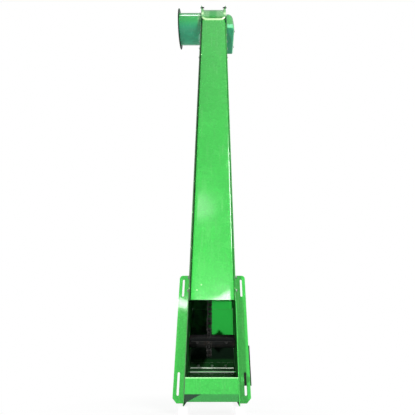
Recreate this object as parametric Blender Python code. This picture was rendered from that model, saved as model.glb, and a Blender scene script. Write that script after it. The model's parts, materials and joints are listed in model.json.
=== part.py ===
"""A grain elevator with an auger outlet, standing upright on its open boot.

Metres, +Z up along the casing, the lid on -Y. The dimensions below are measured from the middle of the
casing's width and depth, at the lower edge of the boot's side plates. The outlet reaches further out than
the drive, so the whole machine stands CASING_X to the right, which puts the origin under its middle.
"""

import math

import bmesh
import bpy
from mathutils import Matrix, Vector

GAP = 0.0005  # between neighbouring pieces
SHEET = 0.002

# Casing
CASING_WIDTH = 0.200
CASING_DEPTH = 0.230
WALL_X = 0.0945  # middle of a side wall's thickness
LIP_SETBACK = 0.010  # the lips lie this far behind the lid's face
LID_BOTTOM = 0.3565
LID_TOP = 2.525
TROUGH_TOP = 2.460
LID_SHIFT = 0.002
LID_HALF = 0.0925
LID_BEND = 0.006
TROUGH_BEND = 0.008
DIVIDER_BOTTOM = 0.380
DIVIDER_TOP = 2.430

# Head
HEAD_Z = 2.567
HEAD_PLATE = (0.0960, 0.0990)
HEAD_PLATE_BOTTOM = 2.040
HEAD_PLATE_TOP = 2.680
HEAD_PLATE_HALF = 0.128
CAP_RADIUS = 0.133
CAP_LIP_Z = 2.508
CAP_LIP_END = 0.1180
CAP_BOLT_Y = 0.118
CAP_BOLT_Z = 2.666
CAP_BOLT_RADIUS = 0.004
CAP_BOLT_HEAD = (0.0075, 0.006)  # radius and height, also of the nut
CAP_BOLT_END = 0.0860

# Outlet and its auger
OUTLET_RADIUS = 0.1145
OUTLET_WALL = 0.0025
OUTLET_HOLE = 0.107
OUTLET_END = -0.280
FLANGE_FACE = -0.281
FLANGE_THICKNESS = 0.006
FLANGE_RADIUS = 0.145
FLANGE_BOLT_CIRCLE = 0.130
FLANGE_BOLT_HOLE = 0.0045
FLANGE_BOLTS = 8
AUGER_RADIUS = 0.105
AUGER_START = -0.104
AUGER_END = -0.252
AUGER_PITCH = 0.150
AUGER_TUBE = 0.0190
FLIGHT = 0.003
HANGER_X = (-0.272, -0.258)
HANGER_ARM = (0.012, 0.006)  # width, and height along the shaft
HANGER_HUB = 0.028

# Chain and paddles
LINK_PITCH = 0.040
LINKS = 126
LINKS_PER_PADDLE = 9
SPROCKET_TEETH = 8
PITCH_RADIUS = LINK_PITCH / (2 * math.sin(math.pi / SPROCKET_TEETH))
CHAIN_X = -0.012
CHAIN_HALF_WIDTH = 0.011
CHAIN_HALF_HEIGHT = 0.0085
PADDLE_HALF_WIDTH = 0.086
PADDLE_INNER = 0.0292
PADDLE_OUTER = 0.102
PADDLE_THICKNESS = 0.009
BOOT_Z = HEAD_Z - (LINKS * LINK_PITCH - 2 * math.pi * PITCH_RADIUS) / 2

# Shafts and what turns with them
HEAD_SHAFT = 0.015
HEAD_SHAFT_X = (-0.276, 0.1575)
BOOT_SHAFT = 0.0125
BOOT_BARREL = 0.0245
SPROCKET_TIP = PITCH_RADIUS - CHAIN_HALF_HEIGHT - 0.0009
SPROCKET_ROOT = 0.031
SPROCKET_HALF = 0.004
SPROCKET_HUB_HALF = 0.020
DRIVE_TEETH = 18
DRIVE_TIP = 0.083
DRIVE_ROOT = 0.075
DRIVE_X = (0.1275, 0.1355)
DRIVE_HUB = (0.1210, 0.1465, 0.028)  # both ends and the radius
COLLAR = (0.1470, 0.1550, 0.024)
HEAD_BEARING = ((0.0995, 0.044), (0.1055, 0.032), (0.1195, 0.029))  # each step's start or end and radius
BOOT_BEARING = ((0.1005, 0.034), (0.1065, 0.026), (0.1305, 0.024))
BOOT_SHAFT_END = 0.134

# Guard over the drive sprocket
GUARD_X = (0.1005, 0.1620)
GUARD_RADIUS = 0.105
GUARD_BOTTOM = 2.390
GUARD_BEVEL = 0.012
GUARD_SLOT_X = (0.1195, 0.1435)  # the drive chain leaves through this slot in the rear wall
GUARD_SLOT_Z = (2.415, 2.627)

# Boot
BOOT_PLATE = (0.0965, 0.1000)
BOOT_TOP = 0.477
FLOOR_RADIUS = 0.1115
FLOOR_END = -84  # degrees: where the curved floor stops at the door's hinge
STRIP_ARC = (-47, -66)  # degrees
STRIP_RADIUS = 0.1092
STRIP_BOLT_X = 0.058
STRIP_BOLT = (0.0052, 0.0065, 0.0018)  # radius of the head's face and of its foot, and its height
STRIP_BOLT_SHANK = (0.003, 0.0115)  # radius, and length from the head's face
FRONT_PLATE_TOP = 0.086
FRONT_PLATE_BOTTOM = 0.035
SKIRT_BOTTOM = 0.012
DOOR_HINGE_Z = 0.0920
DOOR_HINGE_Y = 0.004
DOOR_REAR_Z = 0.0975
DOOR_FRONT_Z = 0.0820
DOOR_FRONT_Y = -0.111
DOOR_BARREL = 0.0055
PIN_RADIUS = 0.0028
PIN_HOLE = 0.0035
PIN_HEAD = (0.005, 0.0035)  # radius and thickness
LATCH_Y = -0.090
LATCH_Z = 0.0785
LATCH_RADIUS = 0.004
LATCH_TIP = 0.0820
LATCH_KNOB = (0.1131, 0.1175, 0.009)  # both ends and the radius
LATCH_GUIDE = (0.012, 0.010)  # thickness and half height
TAKE_UP = 0.025  # how far the boot shaft's bearings slide up
SCREW_X = 0.122
SCREW_RADIUS = 0.005
SCREW_TOP = 0.352
SCREW_COLLAR = (0.2985, 0.3065)
SCREW_COLLAR_RADIUS = 0.009
LEDGE_Z = 0.2965  # the screws pass through a ledge at this height
LEDGE_TOP = 0.320
LEDGE_END = 0.140
LEDGE_Y = (-0.030, 0.044)
LEDGE_SHEET = 0.003
WING_BOTTOM = {-1: 0.106, 1: 0.050}  # the left side's, then the right side's
WING_FOOT_END = {-1: 0.140, 1: 0.1605}
WING_FOOT_TOP = 0.196

# Mounting flanges beside the boot
MOUNT_Y = (-0.042, -0.038)
MOUNT_EDGE = 0.147
MOUNT_TOP = 0.477
MOUNT_CHAMFER = 0.016
MOUNT_CORNER = 0.014
SLOT_X = 0.1285
SLOT_HALF = 0.0045
LOWER_SLOT = (0.0235, 0.0998)
UPPER_SLOT = (0.3843, 0.4596)

CASING_X = -(FLANGE_FACE + GUARD_X[1]) / 2

PLANES = {"X": (1, 2, 0), "Y": (2, 0, 1), "Z": (0, 1, 2)}
FINISHES = {
    "green_paint": ((0.10, 0.62, 0.14), 0.32, 0.0),
    "black_rubber": ((0.012, 0.014, 0.014), 0.62, 0.0),
    "bright_steel": ((0.55, 0.56, 0.57), 0.34, 1.0),
    "dark_steel": ((0.05, 0.055, 0.06), 0.48, 0.8),
}


def clear_scene():
    for found in list(bpy.data.objects):
        bpy.data.objects.remove(found, do_unlink=True)


def finish_material(name):
    """The named finish as a Principled material, made once."""
    material = bpy.data.materials.get(name)
    if material is None:
        material = bpy.data.materials.new(name)
        material.use_nodes = True
        colour, roughness, metallic = FINISHES[name]
        shader = material.node_tree.nodes["Principled BSDF"]
        shader.inputs["Base Color"].default_value = (*colour, 1.0)
        shader.inputs["Roughness"].default_value = roughness
        shader.inputs["Metallic"].default_value = metallic
    return material


def to_object(name, mesh_data, finish, origin=(0, 0, 0)):
    """An object holding the bmesh, which is in world places, with its own origin at the given point."""
    bmesh.ops.remove_doubles(mesh_data, verts=mesh_data.verts, dist=1e-7)
    bmesh.ops.dissolve_degenerate(mesh_data, edges=mesh_data.edges, dist=1e-7)
    bmesh.ops.recalc_face_normals(mesh_data, faces=mesh_data.faces)
    bmesh.ops.translate(mesh_data, verts=mesh_data.verts, vec=-Vector(origin))
    mesh = bpy.data.meshes.new(name)
    mesh_data.to_mesh(mesh)
    mesh_data.free()
    mesh.materials.append(finish_material(finish))
    mesh.shade_smooth()
    mesh.set_sharp_from_angle(angle=math.radians(35))
    made = bpy.data.objects.new(name, mesh)
    made.location = origin
    bpy.context.scene.collection.objects.link(made)
    return made


def place_point(axis, point, along):
    """A world point from the point in the plane across the axis and the distance along it."""
    first, second, third = PLANES[axis]
    world = [0.0, 0.0, 0.0]
    world[first], world[second], world[third] = point[0], point[1], along
    return world


def prism(name, outline, axis, ends, finish="green_paint", origin=(0, 0, 0)):
    """The outline pushed along the axis between two ends."""
    mesh_data = bmesh.new()
    rings = [[mesh_data.verts.new(place_point(axis, p, end)) for p in outline] for end in ends]
    mesh_data.faces.new(rings[0])
    mesh_data.faces.new(reversed(rings[1]))
    for i in range(len(outline)):
        j = (i + 1) % len(outline)
        mesh_data.faces.new((rings[0][i], rings[1][i], rings[1][j], rings[0][j]))
    return to_object(name, mesh_data, finish, origin)


def box(name, low, high, finish="green_paint", origin=(0, 0, 0)):
    outline = [(low[0], low[1]), (high[0], low[1]), (high[0], high[1]), (low[0], high[1])]
    return prism(name, outline, "Z", (low[2], high[2]), finish, origin)


def turned(name, profile, centre, finish, segments=32, origin=None):
    """The closed profile of (x, radius) points turned about the line along X through the centre's y and z."""
    mesh_data = bmesh.new()
    rings = []
    for k in range(segments):
        angle = 2 * math.pi * k / segments
        ring = [
            mesh_data.verts.new((x, centre[0] + r * math.sin(angle), centre[1] + r * math.cos(angle)))
            for x, r in profile
        ]
        rings.append(ring)
    for k in range(segments):
        here, following = rings[k], rings[(k + 1) % segments]
        for i in range(len(profile)):
            j = (i + 1) % len(profile)
            if profile[i][1] == 0 and profile[j][1] == 0:
                continue
            mesh_data.faces.new((here[i], here[j], following[j], following[i]))
    return to_object(name, mesh_data, finish, origin or (0, *centre))


def cylinder(name, axis, centre, ends, radius, segments=20):
    """A plain round cutter along the axis; the centre is in the plane across it."""
    outline = [
        (centre[0] + radius * math.cos(a), centre[1] + radius * math.sin(a))
        for a in (2 * math.pi * k / segments for k in range(segments))
    ]
    return prism(name, outline, axis, ends, "dark_steel")


def capsule_outline(centre_low, centre_high, radius, steps=6):
    """A slot's outline in a plane whose second direction is the slot's length."""
    outline = []
    for centre, start in ((centre_high, 0.0), (centre_low, math.pi)):
        for k in range(steps + 1):
            angle = start + math.pi * k / steps
            outline.append((centre[0] + radius * math.cos(angle), centre[1] + radius * math.sin(angle)))
    return outline


def combine(target, other, operation):
    """Adds a Boolean on the target; the other object becomes a hidden tool."""
    modifier = target.modifiers.new(other.name, "BOOLEAN")
    modifier.operation = operation
    modifier.solver = "EXACT"
    modifier.object = other
    other.hide_render = True
    other.display_type = "WIRE"


def cut(target, *tools):
    for tool in tools:
        combine(target, tool, "DIFFERENCE")


def join(target, *tools):
    for tool in tools:
        combine(target, tool, "UNION")


def rounded(corners, radius, steps=4):
    """The open path with each inner corner turned into an arc."""
    points = [Vector(corners[0])]
    for before, corner, after in zip(corners, corners[1:], corners[2:]):
        before, corner, after = Vector(before), Vector(corner), Vector(after)
        into, out = (corner - before).normalized(), (after - corner).normalized()
        turn = math.atan2(into.x * out.y - into.y * out.x, into.dot(out))
        reach = radius * math.tan(abs(turn) / 2)
        start = corner - into * reach
        side = math.copysign(1.0, turn)
        centre = start + Vector((-into.y, into.x)) * radius * side
        for k in range(steps + 1):
            points.append(centre + Matrix.Rotation(turn * k / steps, 2) @ (start - centre))
    points.append(Vector(corners[-1]))
    return points


def offset_path(path, distance):
    """The open path moved to its left by the distance, with mitred corners."""
    moved = []
    last = len(path) - 1
    for i, point in enumerate(path):
        into = (path[max(i, 1)] - path[max(i, 1) - 1]).normalized()
        out = (path[min(i, last - 1) + 1] - path[min(i, last - 1)]).normalized()
        normal = Vector((-into.y, into.x))
        bisector = (normal + Vector((-out.y, out.x))).normalized()
        moved.append(point + bisector * (distance / bisector.dot(normal)))
    return moved


def bent_sheet(name, path, axis, ends, thickness=SHEET, finish="green_paint", origin=(0, 0, 0)):
    """Sheet metal whose mid-line is the path, pushed along the axis."""
    path = [Vector(point) for point in path]
    outline = offset_path(path, thickness / 2) + offset_path(path, -thickness / 2)[::-1]
    return prism(name, outline, axis, ends, finish, origin)


def arc(centre, radius, start, end, steps):
    """Points on an arc, with angles in degrees."""
    angles = [math.radians(start + (end - start) * k / steps) for k in range(steps + 1)]
    return [(centre[0] + radius * math.cos(a), centre[1] + radius * math.sin(a)) for a in angles]


def toothed_outline(centre, tip, root, teeth):
    """A sprocket's outline: flat-topped teeth with sloping flanks."""
    outline = []
    step = 2 * math.pi / teeth
    for k in range(teeth):
        for share, radius in ((-0.30, root), (-0.12, tip), (0.12, tip), (0.30, root)):
            angle = (k + share) * step
            outline.append((centre[0] + radius * math.sin(angle), centre[1] + radius * math.cos(angle)))
    return outline


# Casing


def make_casing():
    half, front, back = CASING_WIDTH / 2, -CASING_DEPTH / 2, CASING_DEPTH / 2
    lip_y = front + LIP_SETBACK
    path = [(-half, lip_y), (-WALL_X, lip_y), (-WALL_X, back), (WALL_X, back), (WALL_X, lip_y), (half, lip_y)]
    section = [path[0], path[1], *rounded(path[1:5], TROUGH_BEND)[1:-1], path[4], path[5]]
    bent_sheet("casing_trough", section, "Z", (LID_BOTTOM, TROUGH_TOP))

    left, right = LID_SHIFT - LID_HALF, LID_SHIFT + LID_HALF
    leg_end = lip_y - SHEET / 2 - GAP
    path = [(left, leg_end), (left, front), (right, front), (right, leg_end)]
    bent_sheet("front_lid", rounded(path, LID_BEND), "Z", (LID_BOTTOM, LID_TOP))

    inside = WALL_X - SHEET / 2 - GAP
    box("divider_plate", (-inside, -SHEET / 2, DIVIDER_BOTTOM), (inside, SHEET / 2, DIVIDER_TOP))


# Head


def make_head_plates():
    notch_y = -CASING_DEPTH / 2 + LIP_SETBACK + SHEET / 2 + GAP
    notch_z = TROUGH_TOP + GAP
    outline = [
        (notch_y, HEAD_PLATE_BOTTOM),
        (HEAD_PLATE_HALF - LIP_SETBACK, HEAD_PLATE_BOTTOM),
        (HEAD_PLATE_HALF, HEAD_PLATE_BOTTOM + LIP_SETBACK),
        (HEAD_PLATE_HALF, HEAD_PLATE_TOP),
        (-HEAD_PLATE_HALF, HEAD_PLATE_TOP),
        (-HEAD_PLATE_HALF, notch_z),
        (notch_y, notch_z),
    ]
    for side, name, bore in ((-1, "head_side_left", OUTLET_HOLE), (1, "head_side_right", HEAD_SHAFT + 0.002)):
        ends = sorted(side * x for x in HEAD_PLATE)
        plate = prism(name, outline, "X", ends)
        reach = (ends[0] - 0.01, ends[1] + 0.01)
        cut(plate, cylinder(name + "_bore", "X", (0, HEAD_Z), reach, bore, 48))
        for y in (-CAP_BOLT_Y, CAP_BOLT_Y):
            centre = (y, CAP_BOLT_Z)
            cut(plate, cylinder(f"{name}_bolt_hole_{y:+.3f}", "X", centre, reach, CAP_BOLT_RADIUS + GAP, 12))


def make_cap_bolts():
    """A bolt with its nut through each upper corner of the head's side plates."""
    radius, height = CAP_BOLT_HEAD
    nut, head = HEAD_PLATE[0] - GAP, HEAD_PLATE[1] + GAP
    profile = [(CAP_BOLT_END, 0), (CAP_BOLT_END, CAP_BOLT_RADIUS), (nut - height, CAP_BOLT_RADIUS)]
    profile += [(nut - height, radius), (nut, radius), (nut, CAP_BOLT_RADIUS), (head, CAP_BOLT_RADIUS)]
    profile += [(head, radius), (head + height, radius), (head + height, 0)]
    for side, side_word in ((-1, "left"), (1, "right")):
        for y, end_word in ((-CAP_BOLT_Y, "front"), (CAP_BOLT_Y, "rear")):
            place = [(side * x, r) for x, r in profile]
            turned(f"cap_bolt_{end_word}_{side_word}", place, (y, CAP_BOLT_Z), "dark_steel", 12)


def make_cap():
    inside = HEAD_PLATE[0] - GAP
    path = [(-CAP_LIP_END, CAP_LIP_Z), (-CAP_RADIUS, CAP_LIP_Z)]
    path += arc((0, HEAD_Z), CAP_RADIUS, 180, 0, 24)
    path += [(CAP_RADIUS, CAP_LIP_Z), (CAP_LIP_END, CAP_LIP_Z)]
    bent_sheet("head_cap", path, "X", (-inside, inside))


def make_outlet():
    start = -HEAD_PLATE[1] - GAP
    bore = OUTLET_RADIUS - OUTLET_WALL
    profile = [(OUTLET_END, OUTLET_RADIUS), (start, OUTLET_RADIUS), (start, bore), (OUTLET_END, bore)]
    turned("outlet_tube", profile, (0, HEAD_Z), "green_paint", 48)

    back = FLANGE_FACE + FLANGE_THICKNESS
    profile = [(FLANGE_FACE, FLANGE_RADIUS), (back, FLANGE_RADIUS)]
    profile += [(back, OUTLET_RADIUS + GAP), (FLANGE_FACE, OUTLET_RADIUS + GAP)]
    flange = turned("outlet_flange", profile, (0, HEAD_Z), "green_paint", 48)
    for k in range(FLANGE_BOLTS):
        angle = 2 * math.pi * (k + 0.5) / FLANGE_BOLTS
        centre = (FLANGE_BOLT_CIRCLE * math.sin(angle), HEAD_Z + FLANGE_BOLT_CIRCLE * math.cos(angle))
        reach = (FLANGE_FACE - 0.01, back + 0.01)
        cut(flange, cylinder(f"flange_hole_{k}", "X", centre, reach, FLANGE_BOLT_HOLE, 12))


def make_auger():
    """One turn of flight welded to a tube that slides over the head shaft."""
    bore, outside = HEAD_SHAFT + GAP, AUGER_TUBE
    profile = [(AUGER_END, outside), (AUGER_START, outside), (AUGER_START, bore), (AUGER_END, bore)]
    auger = turned("head_auger", profile, (0, HEAD_Z), "bright_steel", 28)
    length = AUGER_START - AUGER_END - 2 * FLIGHT
    steps = round(28 * length / AUGER_PITCH)
    mesh_data = bmesh.new()
    rings = []
    for k in range(steps + 1):
        x = AUGER_END + FLIGHT + length * k / steps
        angle = 2 * math.pi * (x - AUGER_END) / AUGER_PITCH
        ring = []
        for radius, shift in ((0.017, -1), (AUGER_RADIUS, -1), (AUGER_RADIUS, 1), (0.017, 1)):
            place = (x + shift * FLIGHT / 2, radius * math.sin(angle), HEAD_Z + radius * math.cos(angle))
            ring.append(mesh_data.verts.new(place))
        rings.append(ring)
    mesh_data.faces.new(rings[0])
    mesh_data.faces.new(rings[-1])
    for here, following in zip(rings, rings[1:]):
        for i in range(4):
            j = (i + 1) % 4
            mesh_data.faces.new((here[i], here[j], following[j], following[i]))
    join(auger, to_object("auger_flight", mesh_data, "bright_steel"))


def make_hanger():
    """A three-armed spider that carries the outer end of the head shaft in the outlet."""
    low, high = HANGER_X
    bore = HEAD_SHAFT + GAP
    profile = [(low, HANGER_HUB), (high, HANGER_HUB), (high, bore), (low, bore)]
    hanger = turned("hanger_bearing", profile, (0, HEAD_Z), "dark_steel", 24)
    root, reach = HANGER_HUB - 0.006, OUTLET_RADIUS - OUTLET_WALL - 2 * GAP
    half, middle = HANGER_ARM[0] / 2, (low + high) / 2
    ends = (middle - HANGER_ARM[1] / 2, middle + HANGER_ARM[1] / 2)
    for k in range(3):
        turn = Matrix.Rotation(2 * math.pi * k / 3, 2)
        corners = [(-half, root), (half, root), (half, reach), (-half, reach)]
        outline = [turn @ Vector(corner) for corner in corners]
        outline = [(y, HEAD_Z + z) for y, z in outline]
        join(hanger, prism(f"hanger_arm_{k}", outline, "X", ends, "dark_steel"))


def make_head_shaft():
    low, high = HEAD_SHAFT_X
    chamfer = 0.0015
    profile = [(low, 0), (low, HEAD_SHAFT - chamfer), (low + chamfer, HEAD_SHAFT)]
    profile += [(high - chamfer, HEAD_SHAFT), (high, HEAD_SHAFT - chamfer), (high, 0)]
    turned("head_shaft", profile, (0, HEAD_Z), "bright_steel", 28)


def make_sprocket(name, z, bore, hub):
    centre = (0, z)
    ends = (CHAIN_X - SPROCKET_HALF, CHAIN_X + SPROCKET_HALF)
    hub_ends = (CHAIN_X - SPROCKET_HUB_HALF, CHAIN_X + SPROCKET_HUB_HALF)
    outline = toothed_outline(centre, SPROCKET_TIP, SPROCKET_ROOT, SPROCKET_TEETH)
    wheel = prism(name, outline, "X", ends, "dark_steel", (0, 0, z))
    join(wheel, cylinder(name + "_hub", "X", centre, hub_ends, hub, 28))
    reach = (hub_ends[0] - 0.01, hub_ends[1] + 0.01)
    cut(wheel, cylinder(name + "_bore", "X", centre, reach, bore, 28))


def bearing_profile(steps, bore):
    """A flange against the plate, then a housing that narrows outwards, bored through."""
    (low, flange), (shoulder, housing), (high, nose) = steps
    profile = [(low, flange), (shoulder, flange), (shoulder, housing), (high, nose)]
    return [*profile, (high, bore), (low, bore)]


def make_drive():
    centre, bore = (0, HEAD_Z), HEAD_SHAFT + GAP
    turned("head_bearing", bearing_profile(HEAD_BEARING, bore), centre, "dark_steel", 28)

    outline = toothed_outline(centre, DRIVE_TIP, DRIVE_ROOT, DRIVE_TEETH)
    wheel = prism("drive_sprocket", outline, "X", DRIVE_X, "dark_steel", (0, 0, HEAD_Z))
    low, high, radius = DRIVE_HUB
    join(wheel, cylinder("drive_hub", "X", centre, (low, high), radius, 28))
    cut(wheel, cylinder("drive_bore", "X", centre, (low - 0.01, high + 0.01), bore, 28))

    low, high, radius = COLLAR
    profile = [(low, radius), (high, radius), (high, bore), (low, bore)]
    turned("lock_collar", profile, centre, "bright_steel", 24)


def rounded_cover(name, inset, ends):
    """A round-topped block whose rim at the outer end is rounded."""
    radius, bottom = GUARD_RADIUS - inset, GUARD_BOTTOM + inset
    outline = [(radius, bottom), *arc((0, HEAD_Z), radius, 0, 180, 24), (-radius, bottom)]
    cover = prism(name, outline, "X", ends)
    bevel = cover.modifiers.new("rounded_rim", "BEVEL")
    bevel.width = GUARD_BEVEL - inset
    bevel.segments = 4
    bevel.limit_method = "WEIGHT"
    weights = cover.data.attributes.new("bevel_weight_edge", "FLOAT", "EDGE")
    for edge in cover.data.edges:
        xs = [cover.data.vertices[v].co.x for v in edge.vertices]
        weights.data[edge.index].value = float(min(xs) > ends[1] - GAP)
    return cover


def make_guard():
    guard = rounded_cover("drive_guard", 0.0, GUARD_X)
    cavity = rounded_cover("guard_cavity", SHEET, (GUARD_X[0] - 0.01, GUARD_X[1] - SHEET))
    (low_x, high_x), (low_z, high_z) = GUARD_SLOT_X, GUARD_SLOT_Z
    slot = box("guard_chain_slot", (low_x, GUARD_RADIUS / 2, low_z), (high_x, GUARD_RADIUS * 2, high_z))
    cut(guard, cavity, slot)


# Boot


def make_boot_sides():
    notch_y = -CASING_DEPTH / 2 + LIP_SETBACK + SHEET / 2 + GAP
    front, back = -CASING_DEPTH / 2, CASING_DEPTH / 2
    notch_z = LID_BOTTOM - GAP
    outline = [(front, 0), (back, 0), (back, BOOT_TOP)]
    outline += [(notch_y, BOOT_TOP), (notch_y, notch_z), (front, notch_z)]
    for side, name in ((-1, "boot_side_left"), (1, "boot_side_right")):
        ends = sorted(side * x for x in BOOT_PLATE)
        reach = (ends[0] - 0.01, ends[1] + 0.01)
        plate = prism(name, outline, "X", ends)
        slot = capsule_outline((0, BOOT_Z), (0, BOOT_Z + TAKE_UP), BOOT_SHAFT + 0.002)
        pin_hole = cylinder(name + "_pin_hole", "X", (DOOR_HINGE_Y, DOOR_HINGE_Z), reach, PIN_HOLE, 12)
        cut(plate, prism(name + "_slot", slot, "X", reach), pin_hole)
        if side > 0:
            cut(plate, cylinder("latch_hole", "X", (LATCH_Y, LATCH_Z), reach, LATCH_RADIUS + 0.001, 16))


def make_boot_shell():
    inside = BOOT_PLATE[0] - GAP
    back = CASING_DEPTH / 2 - SHEET
    box("boot_back_plate", (-inside, back, BOOT_Z + GAP), (inside, back + SHEET, LID_BOTTOM - GAP))

    bent_sheet("boot_floor", arc((0, BOOT_Z), FLOOR_RADIUS, 0, FLOOR_END, 14), "X", (-inside, inside))

    face = -CASING_DEPTH / 2 + SHEET / 2
    path = [(face + 0.006, SKIRT_BOTTOM), (face, FRONT_PLATE_BOTTOM), (face, FRONT_PLATE_TOP - SHEET / 2)]
    path += [(face + 0.007, FRONT_PLATE_TOP - SHEET / 2)]
    bent_sheet("boot_front_plate", path, "X", (-inside, inside))


def make_door():
    """The front half of the boot's floor, hinged so that it drops to let old grain out."""
    inside = BOOT_PLATE[0] - 0.0015
    pin = (DOOR_HINGE_Y, DOOR_HINGE_Z)
    path = [(DOOR_FRONT_Y, DOOR_FRONT_Z), (DOOR_HINGE_Y, DOOR_REAR_Z)]
    door = bent_sheet("cleanout_door", path, "X", (-inside, inside), origin=(0, *pin))
    join(door, cylinder("door_barrel", "X", pin, (-inside + 0.01, inside - 0.01), DOOR_BARREL, 16))
    cut(door, cylinder("door_barrel_bore", "X", pin, (-inside - 0.01, inside + 0.01), PIN_HOLE, 12))

    radius, thickness = PIN_HEAD
    end = BOOT_PLATE[1] + GAP
    head = end + thickness
    profile = [(-head, 0), (-head, radius), (-end, radius), (-end, PIN_RADIUS)]
    profile += [(-x, r) for x, r in reversed(profile)]
    turned("door_hinge_pin", profile, pin, "bright_steel", 12)


def make_floor_strip():
    """A strip across the curved floor, held by three low-headed bolts."""
    inside = BOOT_PLATE[0] - 0.006
    strip = bent_sheet("floor_strip", arc((0, BOOT_Z), STRIP_RADIUS, *STRIP_ARC, 4), "X", (-inside, inside))
    middle = math.radians(sum(STRIP_ARC) / 2)
    outward = Vector((0, math.cos(middle), math.sin(middle)))
    face, foot, height = STRIP_BOLT
    shank, length = STRIP_BOLT_SHANK
    for place, word in ((-STRIP_BOLT_X, "left"), (0.0, "middle"), (STRIP_BOLT_X, "right")):
        # Along local X: the head lies inside the strip, the shank goes out through strip and floor.
        profile = [(0, 0), (0, face), (height, foot), (height, shank), (length, shank), (length, 0)]
        bolt = turned(f"floor_bolt_{word}", profile, (0, 0), "dark_steel", 12)
        turn = outward.to_track_quat("X", "Z")
        start = Vector((place, 0, BOOT_Z)) + outward * (STRIP_RADIUS - SHEET / 2 - height - GAP)
        bolt.matrix_world = Matrix.LocRotScale(start, turn, None)
        for sheet in (strip, bpy.data.objects["boot_floor"]):
            hole = cylinder(f"{sheet.name}_hole_{word}", "X", (0, 0), (-0.01, 0.03), shank + GAP, 12)
            hole.matrix_world = bolt.matrix_world
            cut(sheet, hole)


def make_latch():
    """A spring-less slide bolt whose tip lies under the door's front corner."""
    centre = (LATCH_Y, LATCH_Z)
    knob, end, knob_radius = LATCH_KNOB
    profile = [(LATCH_TIP, 0), (LATCH_TIP, LATCH_RADIUS), (knob, LATCH_RADIUS), (knob, knob_radius)]
    profile += [(end, knob_radius), (end, 0)]
    turned("latch_bolt", profile, centre, "green_paint", 16, (knob, *centre))

    low = BOOT_PLATE[1] + GAP
    thickness, half = LATCH_GUIDE
    corner = (low, LATCH_Y - half, LATCH_Z - half)
    guide = box("latch_guide", corner, (low + thickness, LATCH_Y + half, LATCH_Z + half))
    cut(guide, cylinder("latch_guide_bore", "X", centre, (low - 0.01, low + 0.03), LATCH_RADIUS + GAP, 16))


def make_mounts():
    """Ear plates beside the boot, each with two upright slots."""
    root = BOOT_PLATE[1] + GAP
    for side, name in ((-1, "mount_flange_left"), (1, "mount_flange_right")):
        corner = arc((MOUNT_TOP - MOUNT_CORNER, MOUNT_EDGE - MOUNT_CORNER), MOUNT_CORNER, 90, 0, 4)
        outline = [(0.0, root), (0.0, MOUNT_EDGE - MOUNT_CHAMFER), (MOUNT_CHAMFER, MOUNT_EDGE)]
        outline += [*corner, (MOUNT_TOP, root)]
        outline = [(z, side * x) for z, x in outline]
        plate = prism(name, outline, "Y", MOUNT_Y)
        for low, high in (LOWER_SLOT, UPPER_SLOT):
            slot = capsule_outline((0, low + SLOT_HALF), (0, high - SLOT_HALF), SLOT_HALF)
            slot = [(z, side * SLOT_X + x) for x, z in slot]
            cut(plate, prism(f"{name}_slot_{low}", slot, "Y", (MOUNT_Y[0] - 0.01, MOUNT_Y[1] + 0.01)))


def make_boot_shaft():
    shoulder = BOOT_PLATE[0] - 0.003
    profile = [(-BOOT_SHAFT_END, 0), (-BOOT_SHAFT_END, BOOT_SHAFT)]
    profile += [(-shoulder, BOOT_SHAFT), (-shoulder, BOOT_BARREL)]
    profile += [(-x, r) for x, r in reversed(profile)]
    turned("boot_shaft", profile, (0, BOOT_Z), "dark_steel", 28)


def make_take_up():
    """Bearings in housings that slide up the boot's sides, each hung on a screw through a fixed bracket."""
    inner = BOOT_PLATE[1] + GAP
    bore = BOOT_SHAFT + GAP
    foot = BOOT_Z + BOOT_BEARING[1][1] + GAP
    (collar_low, collar_high), collar = SCREW_COLLAR, SCREW_COLLAR_RADIUS
    upright = inner + LEDGE_SHEET / 2
    for side, word in ((-1, "left"), (1, "right")):
        profile = [(side * x, r) for x, r in bearing_profile(BOOT_BEARING, bore)]
        turned(f"boot_bearing_{word}", profile, (0, BOOT_Z), "dark_steel", 28, (0, 0, BOOT_Z))

        screw = [(foot, 0), (foot, SCREW_RADIUS), (collar_low, SCREW_RADIUS), (collar_low, collar)]
        screw += [(collar_high, collar), (collar_high, SCREW_RADIUS)]
        screw += [(SCREW_TOP, SCREW_RADIUS), (SCREW_TOP, 0)]
        made = turned(f"take_up_screw_{word}", screw, (0, 0), "bright_steel", 12, (0, 0, 0))
        made.data.transform(Matrix.Rotation(-math.pi / 2, 4, "Y"))
        made.location = (side * SCREW_X, 0, 0)

        path = [(upright, LEDGE_TOP), (upright, LEDGE_Z), (LEDGE_END, LEDGE_Z)]
        path = [(z, side * x) for x, z in path]
        ledge = bent_sheet(f"take_up_bracket_{word}", path, "Y", LEDGE_Y, LEDGE_SHEET, "dark_steel")
        reach = (LEDGE_Z - 0.02, LEDGE_Z + 0.02)
        hole = cylinder(f"bracket_hole_{word}", "Z", (side * SCREW_X, 0), reach, SCREW_RADIUS + GAP, 16)
        front, back = LEDGE_Y[1] - LEDGE_SHEET, LEDGE_Y[1]
        low, step = WING_BOTTOM[side], WING_FOOT_TOP
        end, foot_end = LEDGE_END, WING_FOOT_END[side]
        corners = [(inner, low), (foot_end, low), (foot_end, step)]
        corners += [(end, step), (end, LEDGE_Z), (inner, LEDGE_Z)]
        outline = [(z, side * x) for x, z in dict.fromkeys(corners)]
        join(ledge, prism(f"bracket_wing_{word}", outline, "Y", (front, back), "dark_steel"))
        cut(ledge, hole)


# Chain and paddles


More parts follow.
